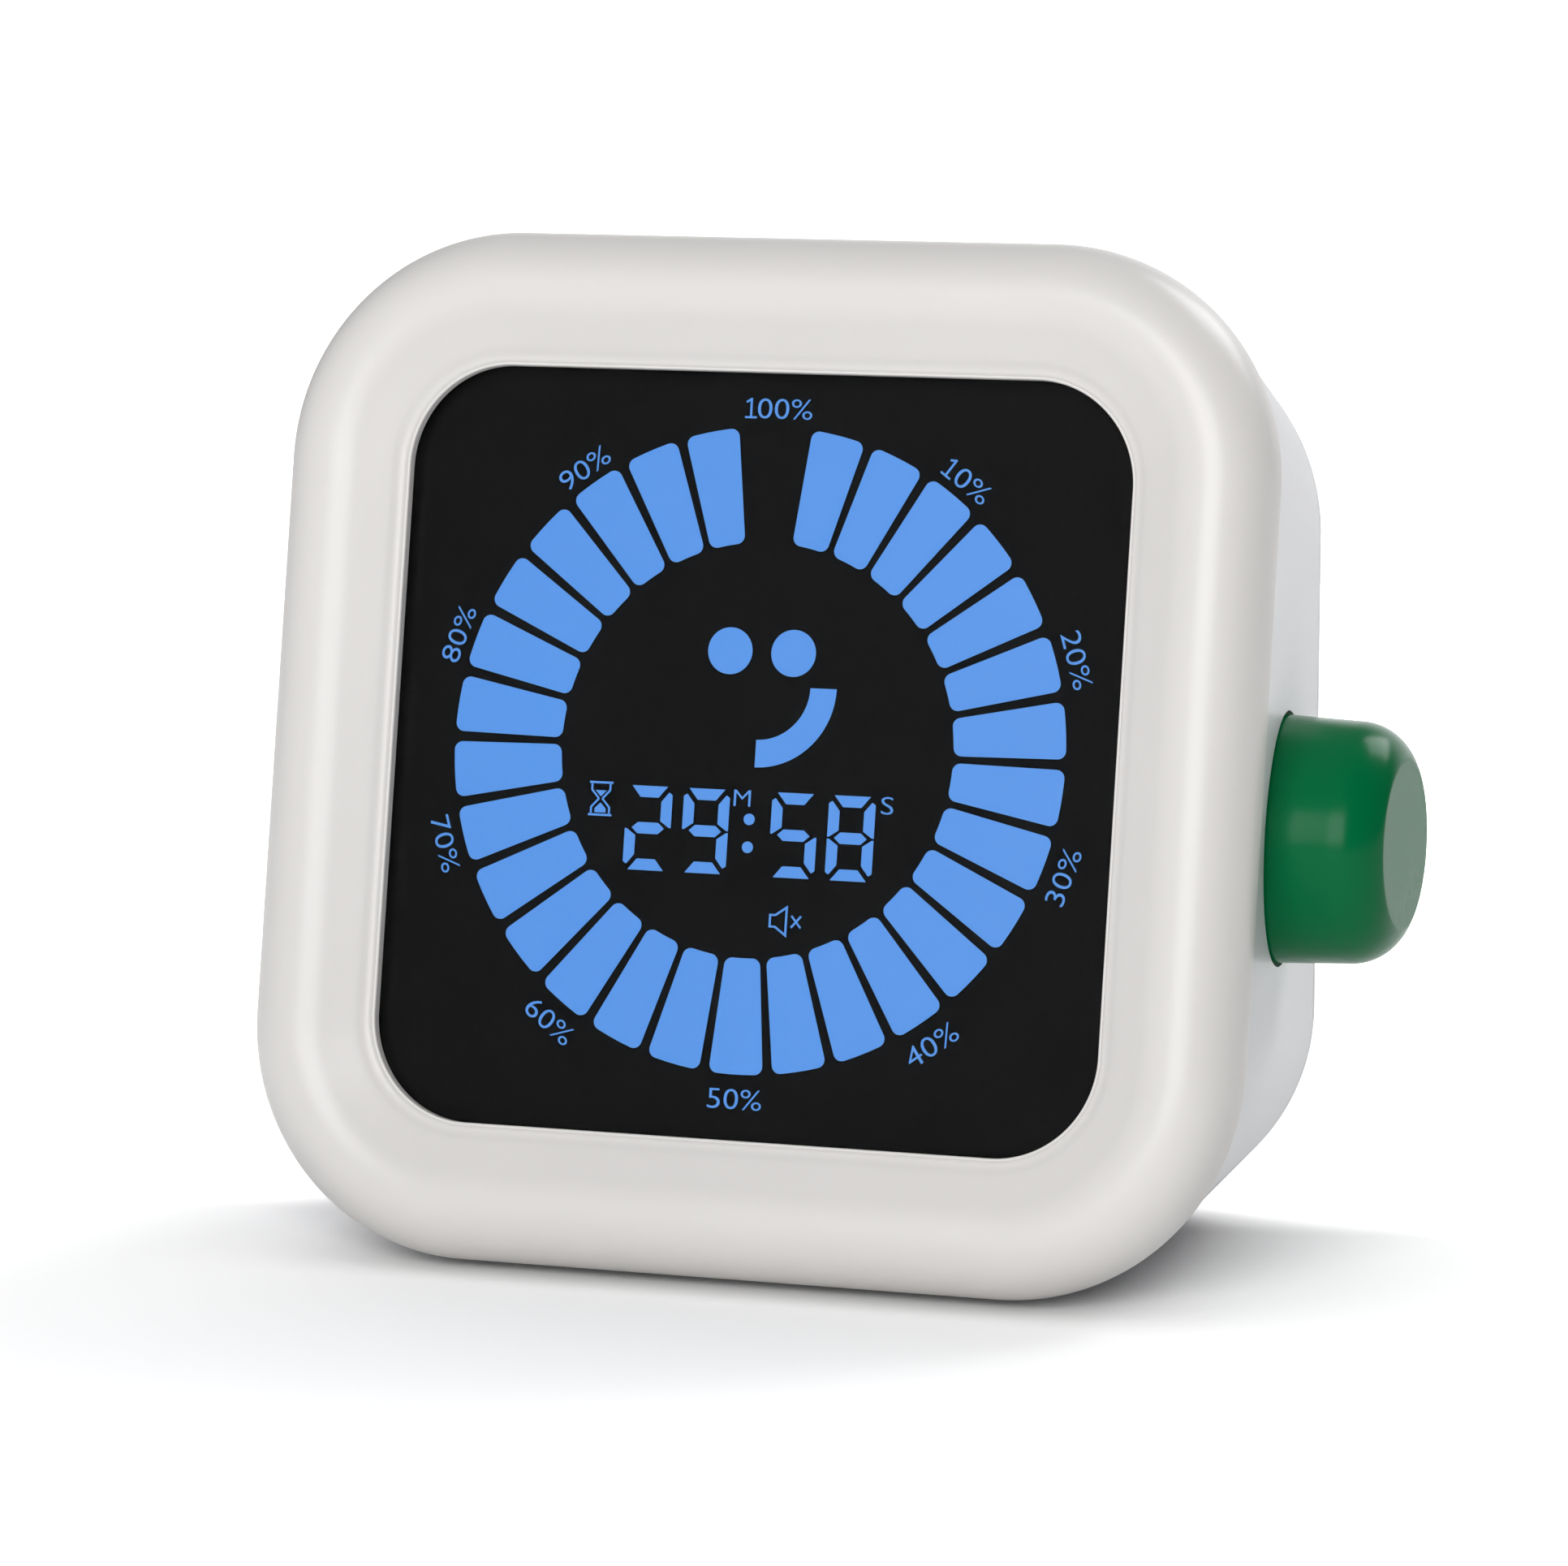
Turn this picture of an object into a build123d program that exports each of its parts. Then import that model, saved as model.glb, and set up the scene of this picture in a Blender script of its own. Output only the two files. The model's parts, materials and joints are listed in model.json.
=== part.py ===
"""Visual countdown timer: a tilted display in a dished frame, a tapering body and a side knob.

Row frame: origin at the centre of the base pad's underside, +X to the knob's side, +Y to the back,
+Z up. Lengths are in millimetres. Pieces of the display side are drawn in the face frame, which has
its origin at the middle of the window's edge, x to the right, y up along the face and z outwards.
"""

from build123d import *
import math
import os

# ---------------------------------------------------------------- overall stance
face_tilt = 10.6            # the display leans back by this, degrees
frame_foot = 1.16           # from the table to the frame's leaning lower edge
window_reach = 18.4         # middle of the window in front of the pad's centre
back_reach = 23.7           # back face behind the pad's centre
pad_proud = 0.8             # how far the pad lifts the body off the table

# ---------------------------------------------------------------- front frame
frame_size = 89.6
frame_corner = 20.4
bezel_width = 11.9          # from the frame's side to the window
window_corner = 9.0
crest_inset = 5.0           # from the frame's side to its crest
crest_height = 2.9          # crest above the window's edge
crest_depth = 6.0           # depth of the outer rounding
crest_radius = 5.85         # roll from the crest to the dish
dish_angle = 27.5           # slope of the dish down to the window, degrees
frame_back = 4.7            # frame's back edge behind the window's edge
frame_back_round = 1.0
lip_depth = 0.9             # window lip, from its edge to the lens seat
lip_round = 0.35
tongue_inset = 3.05
tongue_wall = 1.15
tongue_depth = 1.7
channel_skin = 1.9          # wall left over the cored channel
channel_bevel = (1.6, 1.3)  # channel's outer corner, beside and below its top
tongue_root = 1.6           # tongue's inner face starts behind the lens seat by this

# ---------------------------------------------------------------- display stack
fit_gap = 0.15              # gap round a piece that drops into a pocket
adhesive_thick = 0.1
adhesive_inset = 0.2        # tape inside the lens's edge
adhesive_setback = 0.3      # tape outside the window
lens_ledge = 1.3            # lens beyond the window on each side
lens_thick = 1.5
segment_thick = 0.08
segment_gap = 0.02
polariser_thick = 0.2
glass_thick = 1.1
glass_margin = 0.5          # glass inside the lens on each side
glass_corner_less = 0.4     # glass's corner radius less than the lens's
polariser_inset = 0.2       # front polariser inside the glass on each side
rear_margin = 0.6           # rear polariser inside the window on each side
diffuser_thick = 0.35
guide_margin = 0.4          # light guide inside the window: sides, foot and top
guide_foot_margin = 1.7
guide_top_margin = 1.3
guide_thick = 3.05
guide_corner = 1.5
guide_gap = 0.5             # light guide to the tray's wall
reflector_thick = 0.15
stack_gap = 0.05

# ---------------------------------------------------------------- artwork of the display
ring_rise = 0.58            # ring's centre above the middle of the window
ring_steps = 30
bar_inner = 17.87
bar_outer = 27.85
bar_angle = 10.12
bar_round = 0.75
eye_radius = 2.02
eye_spread = 2.89
eye_rise = 8.44
mouth_inner = 4.64
mouth_outer = 7.0
mouth_rise = 5.52
digit_height = 7.28
digit_width = 4.2
digit_stroke = 0.98
digit_bevel = 0.6           # how far a stroke's outer edge stops short of the digit's corner
digit_gap = 0.09            # from a stroke's tip to the middle line
digit_rise = -7.16
digit_places = (-9.44, -4.18, 3.9, 9.07)
digit_shown = ("2", "9", "5", "8")
colon_radius = 0.49
colon_place = -0.2
colon_spread = 1.2          # dots above and below the digits' middle

# ---------------------------------------------------------------- tray and main board
tray_wall = 1.2             # tray beyond the lens on each side
tray_floor = 1.2
tray_side_gap = 0.4         # tray to the frame's ribs
tray_pocket_corner = 2.0
board_thick = 1.6
board_gap = 2.0             # standoff between tray and main board
board_side_margin = 8.4     # main board inside the tray at each side
board_foot_margin = 0.9
board_height = 54.5
standoff_radius = 2.0
standoff_inset = 2.5        # from the board's sides
standoff_foot = 7.5         # from its foot
standoff_top = 3.0          # from its top
board_corner = 1.0
chip_size = 10.0
chip_height = 1.4
chip_centre = (-8.0, -5.0)  # from the window's middle, as the next ones
capacitor_radius = 2.5
capacitor_height = 5.4
capacitor_x = 9.0
capacitor_rows = (2.0, 9.0)
crystal_size = (8.0, 3.0)
crystal_height = 2.2
crystal_centre = (-12.0, -15.5)
small_part_count = 8
small_part_size = (1.2, 2.0)
small_part_height = 0.6
small_part_pitch = 2.6
small_part_first = (-1.4, -29.0)
socket_depth = 3.6
socket_width = 3.6
rear_socket_length = 9.0
side_socket_length = 6.0
knob_socket_size = (4.4, 3.0)
pin_count = 24
pin_pitch = 1.8
pin_inset = 1.1             # pins from the glass's lower edge
pin_width = 0.5
pin_thick = 0.24
pin_slot_gap = 0.5          # slot in the tray round the row of pins
led_count = 6
led_length = 3.2
led_span = 0.8              # share of the guide's width that the row of LEDs covers
led_gap = 0.1               # LED to the guide's edge
led_strip_thick = 0.3
led_strip_span = 0.9

# ---------------------------------------------------------------- body
body_inset = 0.5            # body's front edge inside the frame's side
body_wall = 2.0
side_draw = 4.9             # each side draws in by this from front to back
body_back_corner = 18.7
body_back_round = 5.0
cover_depth = 5.0           # back cover's rim, from the back face
cover_seam = 0.2
cover_tongue_gap = 0.15
cover_tongue_wall = 1.0
cover_tongue_depth = 1.5
notch_width = 3.0           # pry notch in the seam, lower right
notch_depth = 0.9
notch_angle = 44.0          # where round the lower corner, from level

# ---------------------------------------------------------------- fasteners
small_shank = 0.95
small_head = 1.9
small_head_thick = 1.2
small_pilot_gap = 0.05
pilot_room = 0.8            # pilot hole beyond a screw's tip
frame_screw_length = 6.0
encoder_screw_length = 7.0
switch_screw_length = 4.6
case_screw_length = 11.0
case_head_room = 0.35       # well round the case screws' heads
case_seat_depth = 0.8       # their seats, into the cover's wall
case_shank = 1.4
case_head = 2.6
case_head_thick = 1.9
case_side_inset = 7.4       # case screws from the back's sides
case_end_inset = 12.7       # and from its top and foot
case_boss = 3.2
case_boss_length = 13.7
boss_floor = 1.5            # solid end of a case boss
frame_boss = 2.6
frame_boss_inset = 10.6     # frame screws from the frame's sides
frame_boss_end = 6.7
ear_thick = 1.6
ear_reach = 10.0            # frame ears out to the body's corners
rib_reach = 12.0            # ribs from the case bosses out to the corners
rib_thick = 1.6
rib_setback = 0.4           # ribs stop short of the cover's tongue
tray_boss = 2.0
tray_boss_inset = 6.7       # tray screws from the frame's sides
tray_boss_y = 15.0
boss_root = 0.4             # bosses reach into the frame's skin by this
clear_gap = 0.2             # shank clearance in a through hole

# ---------------------------------------------------------------- knob and encoder
knob_drop = 7.6             # knob's axis below the window's middle
knob_y = 0.0
knob_base_radius = 10.75
knob_taper = 2.4            # degrees
knob_proud = 8.4            # knob's end beyond the frame's side
knob_end_radius = 7.3
knob_round = 4.6
knob_wall = 1.7
knob_hub = 4.7
knob_bore_depth = 8.0
knob_travel = 0.5
knob_ring_gap = 0.3
pocket_inset = 4.8          # pocket's floor inside the frame's side
pocket_floor = 1.8
pocket_wall = 1.8
shaft_radius = 3.0
shaft_flat = 1.5            # flat of the D, from the axis
bush_radius = 3.5
bush_gap = 0.2
running_gap = 0.06
press_gap = 0.03
encoder_size = 12.0
encoder_depth = 6.5
bush_length = 4.0
rotor_radius = 4.5
rotor_thick = 3.4
rotor_gap = 0.3             # chamber's wall and ends round the rotor
housing_floor = 1.0
shaft_start = 0.6           # shaft's inner end, past the rotor's face
knob_well_skin = 0.4        # knob's wall, thicker than its rim by this
encoder_pin_pitch = 2.5
encoder_pin_width = 0.8
encoder_pin_thick = 0.4
encoder_pin_length = 2.2
encoder_board_width = 13.0
encoder_board_down = 20.4   # board below and above the knob's axis
encoder_board_up = 15.4
encoder_screw_reach = 12.8

# ---------------------------------------------------------------- power
cell_radius = 5.25
cell_length = 44.5
cell_nub = 1.0
cell_nub_radius = 1.9
cell_edge_round = 0.5
cell_pitch = 11.2
cell_count = 3
cell_drop = 20.7            # lowest cell's axis below the back's middle
cell_depth = 7.3            # cell axes in front of the back face
spring_room = 4.2           # between a cell and the plate its spring stands on
bay_wall = 1.5
bay_floor = 1.4
bay_margin = 0.35           # round the cells
plate_thick = 0.3
plate_size = 8.0
spring_radius = 2.6
spring_wire = 0.35
spring_turns = 3.5
spring_gap = 0.06           # spring's ends to the cell and its plate
door_thick = 1.6
door_gap = 0.25
door_ledge = 1.4
door_peg = 1.8
door_peg_width = 5.0
door_peg_thick = 1.0
door_peg_reach = 0.7        # pegs out from the middle, as a share of the door's half
latch_half = 7.0            # slits beside the latch tongue
latch_slit = 0.8
latch_length = 8.0
groove_width = 9.0          # thumb grooves on the latch tongue
groove_thick = 0.6
groove_depth = 0.4
groove_first = 2.2          # first groove from the door's top
groove_pitch = 1.5
groove_count = 3
scoop_radius = 6.0          # finger scoop above the door
lead_radius = 0.5

# ---------------------------------------------------------------- sound and switches
speaker_x = 13.0
speaker_gap = 0.3           # speaker's ring above the battery bay
speaker_ring_wall = 1.2
speaker_radius = 10.0
speaker_depth = 4.3
magnet_radius = 6.2
magnet_depth = 2.2
speaker_setback = 0.3       # speaker's rim from the cover's inner face
speaker_rim_depth = 2.6
speaker_wall = 1.2
basket_depth = 2.4
lug_reach = 1.2             # solder lug beside the basket
lug_thick = 0.4
lug_half = 3.0
lug_lead_rise = 1.6         # speaker's leads above and below its middle
speaker_lead_radius = 0.35
grille_hole = 0.7
grille_pitch = 2.6
grille_rings = 3
switch_board_half = 8.0     # board above and below the switches
switch_board_left = -24.8
switch_board_right = -1.0
switch_standoff = 4.4
slider_x = -19.0
slider_travel = 4.0
slider_width = 4.4
slider_height = 3.2
slider_proud = 0.6
button_x = -9.0
button_radius = 3.8
button_travel = 0.3
button_proud = 0.6
moving_gap = 0.2
slide_body_top = 0.8        # top of the slide switch, in front of the cover's inner face
slide_body_size = (9.4, 5.0)
slider_stem = 1.6
stem_depth = 1.4
slider_round = 0.3
slider_groove_pitch = 1.1
slider_groove_width = 0.4
slider_groove_depth = 0.3
tact_body_top = 1.7
tact_body_size = 6.0
tact_stem_radius = 1.5
tact_stem_low = 1.0         # stem below and above the tact switch's top
tact_stem_high = 0.7
button_flange = 0.9
button_flange_gap = 0.15
button_round = 0.4
switch_post_radius = 2.2
switch_post_inset = 2.8     # posts from the switch board's edges

# ---------------------------------------------------------------- ribbon cables
ribbon_rear_x = -13.5       # rear ribbon, from the main board to the switch board
ribbon_rear_inset = 6.0     # its socket from the main board's top
ribbon_side_inset = 8.0     # side ribbon's socket from the main board's side
ribbon_side_foot = 13.0     # and from its foot
ribbon_thick = 0.5
ribbon_bend = 1.2
ribbon_straight = 3.5       # run out of a rear ribbon's socket before its bend
ribbon_side_run = 4.0       # side ribbon's second run behind its socket
rear_ribbon_width = 7.0
side_ribbon_width = 3.6
rear_socket_drop = 3.8      # socket on the switch board, below the switches

# ---------------------------------------------------------------- base pad
pad_width = 40.0
pad_length = 26.0
pad_corner = 4.0
pad_recess = 0.8

# ================================================================ shared frames and levels
tilt = math.radians(face_tilt)
half_frame = frame_size / 2
window_height = frame_foot + half_frame * math.cos(tilt)
face = Plane(
    origin=(0, -window_reach, window_height),
    x_dir=(1, 0, 0),
    z_dir=(0, -math.cos(tilt), math.sin(tilt)),
)
far = 2 * frame_size        # well outside everything, for cutting boxes
straight = half_frame - frame_corner
window_size = frame_size - 2 * bezel_width
lens_size = window_size + 2 * lens_ledge
lens_corner = window_corner + lens_ledge
glass_size = lens_size - 2 * glass_margin
glass_corner = lens_corner - glass_corner_less
polariser_size = window_size - 2 * rear_margin
guide_width = window_size - 2 * guide_margin
guide_low = guide_foot_margin - window_size / 2
guide_high = window_size / 2 - guide_top_margin
tray_size = lens_size + 2 * tray_wall
tray_corner = lens_corner + fit_gap
body_front_size = frame_size - 2 * body_inset
body_front_corner = frame_corner - body_inset
body_back_size = body_front_size - 2 * side_draw
body_base = pad_proud
back_middle = body_base + body_back_size / 2
seam_y = back_reach - cover_depth
cover_inner_y = back_reach - body_wall

lens_front = -lip_depth - adhesive_thick
lens_back = lens_front - lens_thick
segment_front = lens_back - segment_gap
stack_front = segment_front - segment_thick
tray_front = stack_front
front_glass = stack_front - polariser_thick
rear_glass = front_glass - glass_thick
glass_back = rear_glass - glass_thick
diffuser_front = glass_back - polariser_thick - stack_gap
guide_front = diffuser_front - diffuser_thick
reflector_front = guide_front - guide_thick
tray_inside = reflector_front - reflector_thick
tray_back = tray_inside - tray_floor
board_front = tray_back - board_gap
board_back = board_front - board_thick

glass_pocket = glass_size / 2 + fit_gap
guide_pocket = guide_width / 2 + guide_gap
board_width = tray_size - 2 * board_side_margin
board_low = board_foot_margin - tray_size / 2
board_high = board_low + board_height
standoff_x = board_width / 2 - standoff_inset
standoff_rows = (board_low + standoff_foot, board_high - standoff_top)
pin_row = pin_inset - glass_size / 2
frame_boss_place = half_frame - frame_boss_inset
tray_boss_x = half_frame - tray_boss_inset

knob_height = window_height - knob_drop
knob_end_x = half_frame + knob_proud
pocket_floor_x = half_frame - pocket_inset
encoder_face_x = pocket_floor_x - bush_length

case_x = body_back_size / 2 - case_side_inset
case_rise = body_back_size / 2 - case_end_inset
case_places = [
    (side * case_x, back_middle + rise * case_rise) for side in (-1, 1) for rise in (-1, 1)
]
cell_low = back_middle - cell_drop
bay_length = cell_length + 2 * plate_thick + spring_room
bay_low = cell_low - cell_radius - bay_margin
bay_high = cell_low + (cell_count - 1) * cell_pitch + cell_radius + bay_margin
cell_y = back_reach - cell_depth
bay_inner_y = cell_y - cell_radius - bay_margin
bay_front_y = bay_inner_y - bay_floor
door_y = back_reach - door_thick
speaker_ring = speaker_radius + fit_gap + speaker_ring_wall
speaker_z = bay_high + bay_wall + speaker_gap + speaker_ring
switch_z = speaker_z
switch_board_low = switch_z - switch_board_half
switch_board_high = switch_z + switch_board_half
switch_board_y = cover_inner_y - switch_standoff
encoder_back_x = encoder_face_x - encoder_depth
encoder_board_x = encoder_back_x - board_thick
ribbon_rear_y = board_high - ribbon_rear_inset
ribbon_side_x = board_width / 2 - ribbon_side_inset
ribbon_side_y = board_low + ribbon_side_foot
rear_socket_z = switch_z - rear_socket_drop


# ================================================================ helpers
def on_face(shape):
    """Moves a shape drawn in the face frame to its place."""
    return face.location * shape


def slab(width, height, corner, top, bottom, x=0.0, y=0.0):
    """Rounded plate between two levels of the face frame or any frame with z outwards."""
    outline = RectangleRounded(width, height, corner)
    return extrude(Pos(x, y, bottom) * outline, top - bottom)


def block(low, high):
    """Box between two opposite corners."""
    size = [b - a for a, b in zip(low, high)]
    centre = [(a + b) / 2 for a, b in zip(low, high)]
    return Pos(*centre) * Box(*size)


def rod_z(radius, x, y, top, bottom):
    """Cylinder along z between two levels."""
    return Pos(x, y, (top + bottom) / 2) * Cylinder(radius, abs(top - bottom))


def rod_y(radius, x, z, y0, y1):
    """Cylinder along Y."""
    return Pos(x, (y0 + y1) / 2, z) * Rot(90, 0, 0) * Cylinder(radius, abs(y1 - y0))


def rod_x(radius, y, z, x0, x1):
    """Cylinder along X."""
    return Pos((x0 + x1) / 2, y, z) * Rot(0, 90, 0) * Cylinder(radius, abs(x1 - x0))


def group(pieces):
    """Separate solids kept together as one node."""
    return Compound(children=[solid for piece in pieces for solid in piece.solids()])


def cross_recess(radius, depth):
    """Cross-head recess, its mouth on z = 0 and its depth towards -z."""
    arm = Box(radius * 1.3, radius * 0.32, depth)
    return Pos(0, 0, -depth / 2) * (arm + Rot(0, 0, 90) * arm)


def screw(shank, head, head_thick, length):
    """Pan-head screw: head from z = 0 up, shank from z = 0 down."""
    cap = Pos(0, 0, head_thick / 2) * Cylinder(head, head_thick)
    cap = fillet(cap.edges().group_by(Axis.Z)[-1], head_thick * 0.45)
    body = cap + Pos(0, 0, -length / 2) * Cylinder(shank, length)
    return body - Pos(0, 0, head_thick) * cross_recess(head, head_thick * 0.55)


def body_form(inset, depth=0.0):
    """The body's outer form drawn in by inset, up to depth in front of the back face."""
    front = Plane(face.from_local_coords((0, 0, -frame_back)), x_dir=(1, 0, 0), z_dir=face.z_dir)
    back = Plane((0, back_reach, back_middle), x_dir=(1, 0, 0), z_dir=(0, -1, 0))
    front_size = body_front_size - 2 * inset
    back_size = body_back_size - 2 * inset
    sections = [
        front * RectangleRounded(front_size, front_size, body_front_corner - inset),
        back * RectangleRounded(back_size, back_size, body_back_corner - inset),
    ]
    form = loft(sections, ruled=True)
    if depth:
        form = form & block((-far, -far, -far), (far, back_reach - depth, far))
    return form


def between(shape, y0, y1):
    """The stretch of a shape between two values of Y."""
    return shape & block((-far, y0, -far), (far, y1, far))


# ================================================================ front frame
def frame_section():
    """Section of the frame at its right side: x is outwards, the sketch's y is the face frame's z."""
    slope = math.radians(dish_angle)
    side_level = crest_height - crest_depth
    roll_x = crest_inset + crest_radius * math.sin(slope)
    roll_z = crest_height - crest_radius * (1 - math.cos(slope))
    lip_inset = half_frame - window_size / 2
    inner = lip_inset + 2 * lip_round
    seat = half_frame - lens_size / 2 - fit_gap
    tray_side = half_frame - tray_size / 2 - tray_side_gap
    tongue_inner = tongue_inset + tongue_wall

    def at(inset, level):
        return (half_frame - inset, level)

    def dish_level(inset):
        return roll_z - (inset - roll_x) * math.tan(slope)

    roll_middle = math.radians(90 - dish_angle / 2)
    roll_centre = (crest_inset, crest_height - crest_radius)
    middle = at(
        roll_centre[0] + crest_radius * math.cos(roll_middle),
        roll_centre[1] + crest_radius * math.sin(roll_middle),
    )
    skin = channel_skin / math.cos(slope)
    outline = [
        EllipticalCenterArc(at(crest_inset, side_level), crest_inset, crest_depth, 0, arc_size=90),
        ThreePointArc(at(crest_inset, crest_height), middle, at(roll_x, roll_z)),
    ]
    corners = [
        at(roll_x, roll_z),
        at(inner, dish_level(inner)),
        at(inner, -lip_depth),
        at(seat, -lip_depth),
        at(seat, tray_front),
        at(tray_side, tray_front),
        at(tray_side, dish_level(tray_side) - skin),
        at(roll_x, roll_z - skin),
        at(crest_inset, crest_height - channel_skin),
        at(crest_inset - channel_bevel[0], crest_height - channel_skin - channel_bevel[1]),
        at(tongue_inner, -lip_depth - tongue_root),
        at(tongue_inner, -frame_back - tongue_depth),
        at(tongue_inset, -frame_back - tongue_depth),
        at(tongue_inset, -frame_back),
        at(frame_back_round, -frame_back),
    ]
    outline += [Line(a, b) for a, b in zip(corners, corners[1:])]
    back_arc = CenterArc(
        at(frame_back_round, frame_back_round - frame_back), frame_back_round, 270, 90
    )
    outline += [back_arc, Line(at(0, frame_back_round - frame_back), at(0, side_level))]
    return make_face(outline)


def ring_from_section(section):
    """Carries a section round the frame's rounded square: four sides and four corners."""
    upright = Plane.XZ * section
    side = extrude(upright, amount=straight, both=True)
    corner_axis = Axis((straight, straight, 0), (0, 0, 1))
    corner = revolve(Pos(0, straight, 0) * upright, axis=corner_axis, revolution_arc=90)
    ring = None
    for turn in range(4):
        quarter = Rot(0, 0, 90 * turn) * (side + corner)
        ring = quarter if ring is None else ring + quarter
    return ring


def front_frame():
    frame = ring_from_section(frame_section())
    lip = RectangleRounded(window_size, window_size, window_corner)
    frame -= extrude(lip, crest_depth, both=True)
    flare = extrude(Pos(0, 0, -lip_round) * lip, 2 * lip_round, taper=-45)
    frame -= flare
    bosses = []
    for sx in (-1, 1):
        for sy in (-1, 1):
            corner = (sx * frame_boss_place, sy * frame_boss_place)
            bosses.append((frame_boss, *corner))
            bosses.append((tray_boss, sx * tray_boss_x, sy * tray_boss_y))
    for radius, x, y in bosses:
        top = crest_height - channel_skin + boss_root
        frame += rod_z(radius, x, y, top, -frame_boss_end)
    pilot = small_shank + small_pilot_gap
    pilot_end = frame_screw_length + pilot_room - frame_boss_end - ear_thick
    for radius, x, y in bosses:
        frame -= rod_z(pilot, x, y, pilot_end, -frame_boss_end)
    return on_face(frame)


# ================================================================ display stack
def lens_adhesive():
    outer = lens_size - 2 * adhesive_inset
    inner = window_size + 2 * adhesive_setback
    tape = slab(outer, outer, lens_corner - adhesive_inset, -lip_depth, lens_front)
    tape -= slab(inner, inner, window_corner + adhesive_setback, -lip_depth, lens_front)
    return on_face(tape)


def window_lens():
    return on_face(slab(lens_size, lens_size, lens_corner, lens_front, lens_back))


def bar_outline():
    """One bar of the ring: radial sides and arcs at both ends, at the top of the ring."""
    half = math.radians(bar_angle / 2)

    def polar(radius, angle):
        return (radius * math.sin(angle), radius * math.cos(angle))

    edges = [
        ThreePointArc(polar(bar_outer, -half), (0, bar_outer), polar(bar_outer, half)),
        Line(polar(bar_outer, half), polar(bar_inner, half)),
        ThreePointArc(polar(bar_inner, half), (0, bar_inner), polar(bar_inner, -half)),
        Line(polar(bar_inner, -half), polar(bar_outer, -half)),
    ]
    bar = make_face(edges)
    return fillet(bar.vertices(), bar_round)


SEGMENTS = {"2": "abged", "5": "afgcd", "8": "abcdefg", "9": "abcdfg"}


def digit_strokes(figure):
    """Seven-segment figure round its own centre: bevelled bars on its top, foot, sides and middle."""
    side = digit_width / 2
    top = digit_height / 2
    inner = side - digit_stroke
    reach = side - digit_bevel + 0.13
    tip = digit_stroke + digit_bevel / 2
    bar = [(-reach, top), (reach, top), (side - tip, top - digit_stroke), (tip - side, top - digit_stroke)]
    post = [
        (side, top - digit_bevel - 0.1), (side, digit_gap), (side - 0.15, digit_gap),
        (inner, digit_bevel + 0.05), (inner, top - tip - 0.05), (side - 0.3, top - digit_bevel + 0.1),
    ]
    waist = side - tip + 0.1
    middle = [
        (-waist, digit_stroke / 2), (waist, digit_stroke / 2), (inner + 0.35, 0),
        (waist, -digit_stroke / 2), (-waist, -digit_stroke / 2), (-inner - 0.35, 0),
    ]
    flips = {
        "a": (bar, 1, 1), "b": (post, 1, 1), "c": (post, 1, -1), "d": (bar, 1, -1),
        "e": (post, -1, -1), "f": (post, -1, 1), "g": (middle, 1, 1),
    }
    strokes = []
    for name in SEGMENTS[figure]:
        points, across, upright = flips[name]
        strokes.append([(across * x, upright * y) for x, y in points])
    return strokes


def display_segments():
    """The lit shapes: bars, face, digits and colon, as thin plates on the display's front."""
    outlines = []
    for step in range(1, ring_steps):
        turn = Rot(0, 0, -360 / ring_steps * step)
        outlines.append(Pos(0, ring_rise, 0) * turn * bar_outline())
    for side in (-1, 1):
        outlines.append(Pos(side * eye_spread, ring_rise + eye_rise) * Circle(eye_radius))
    quarter = Circle(mouth_outer) - Circle(mouth_inner)
    quarter &= Pos(mouth_outer, -mouth_outer) * Rectangle(2 * mouth_outer, 2 * mouth_outer)
    outlines.append(Pos(0, ring_rise + mouth_rise) * quarter)
    for place, figure in zip(digit_places, digit_shown):
        for points in digit_strokes(figure):
            moved = [(x + place, y + ring_rise + digit_rise) for x, y in points]
            outlines.append(make_face(Polyline(*moved, close=True)))
    for side in (-1, 1):
        rise = ring_rise + digit_rise + side * colon_spread
        outlines.append(Pos(colon_place, rise) * Circle(colon_radius))
    plates = [extrude(Pos(0, 0, stack_front) * shape, segment_thick) for shape in outlines]
    return group([on_face(plate) for plate in plates])


def lcd_glass():
    plates = [
        slab(glass_size, glass_size, glass_corner, front_glass, rear_glass + stack_gap),
        slab(glass_size, glass_size, glass_corner, rear_glass, glass_back),
    ]
    return group([on_face(plate) for plate in plates])


def lcd_polarisers():
    front_size = glass_size - 2 * polariser_inset
    sheets = [
        slab(front_size, front_size, glass_corner - polariser_inset, stack_front, front_glass),
        slab(polariser_size, polariser_size, window_corner, glass_back, glass_back - polariser_thick),
    ]
    return group([on_face(sheet) for sheet in sheets])


def guide_plate(top, thick):
    height = guide_high - guide_low
    middle = (guide_high + guide_low) / 2
    return on_face(slab(guide_width, height, guide_corner, top, top - thick, y=middle))


def lcd_pins():
    first = -(pin_count - 1) / 2 * pin_pitch
    pins = []
    for number in range(pin_count):
        x = first + number * pin_pitch
        low = (x - pin_width / 2, pin_row - pin_thick / 2, board_front)
        pin = block(low, (x + pin_width / 2, pin_row + pin_thick / 2, glass_back))
        pins.append(on_face(pin))
    return group(pins)


def backlight_leds():
    top = guide_front - 0.5
    bottom = reflector_front + 0.3
    strip_y = guide_pocket - led_strip_thick
    pieces = []
    pitch = guide_width * led_span / (led_count - 1)
    for number in range(led_count):
        x = (number - (led_count - 1) / 2) * pitch
        low = (x - led_length / 2, guide_high + led_gap, bottom)
        pieces.append(on_face(block(low, (x + led_length / 2, strip_y, top))))
    strip_half = guide_width * led_strip_span / 2
    strip_low = (-strip_half, strip_y, bottom - 0.2)
    pieces.append(on_face(block(strip_low, (strip_half, guide_pocket, top + 0.3))))
    return group(pieces)


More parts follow.
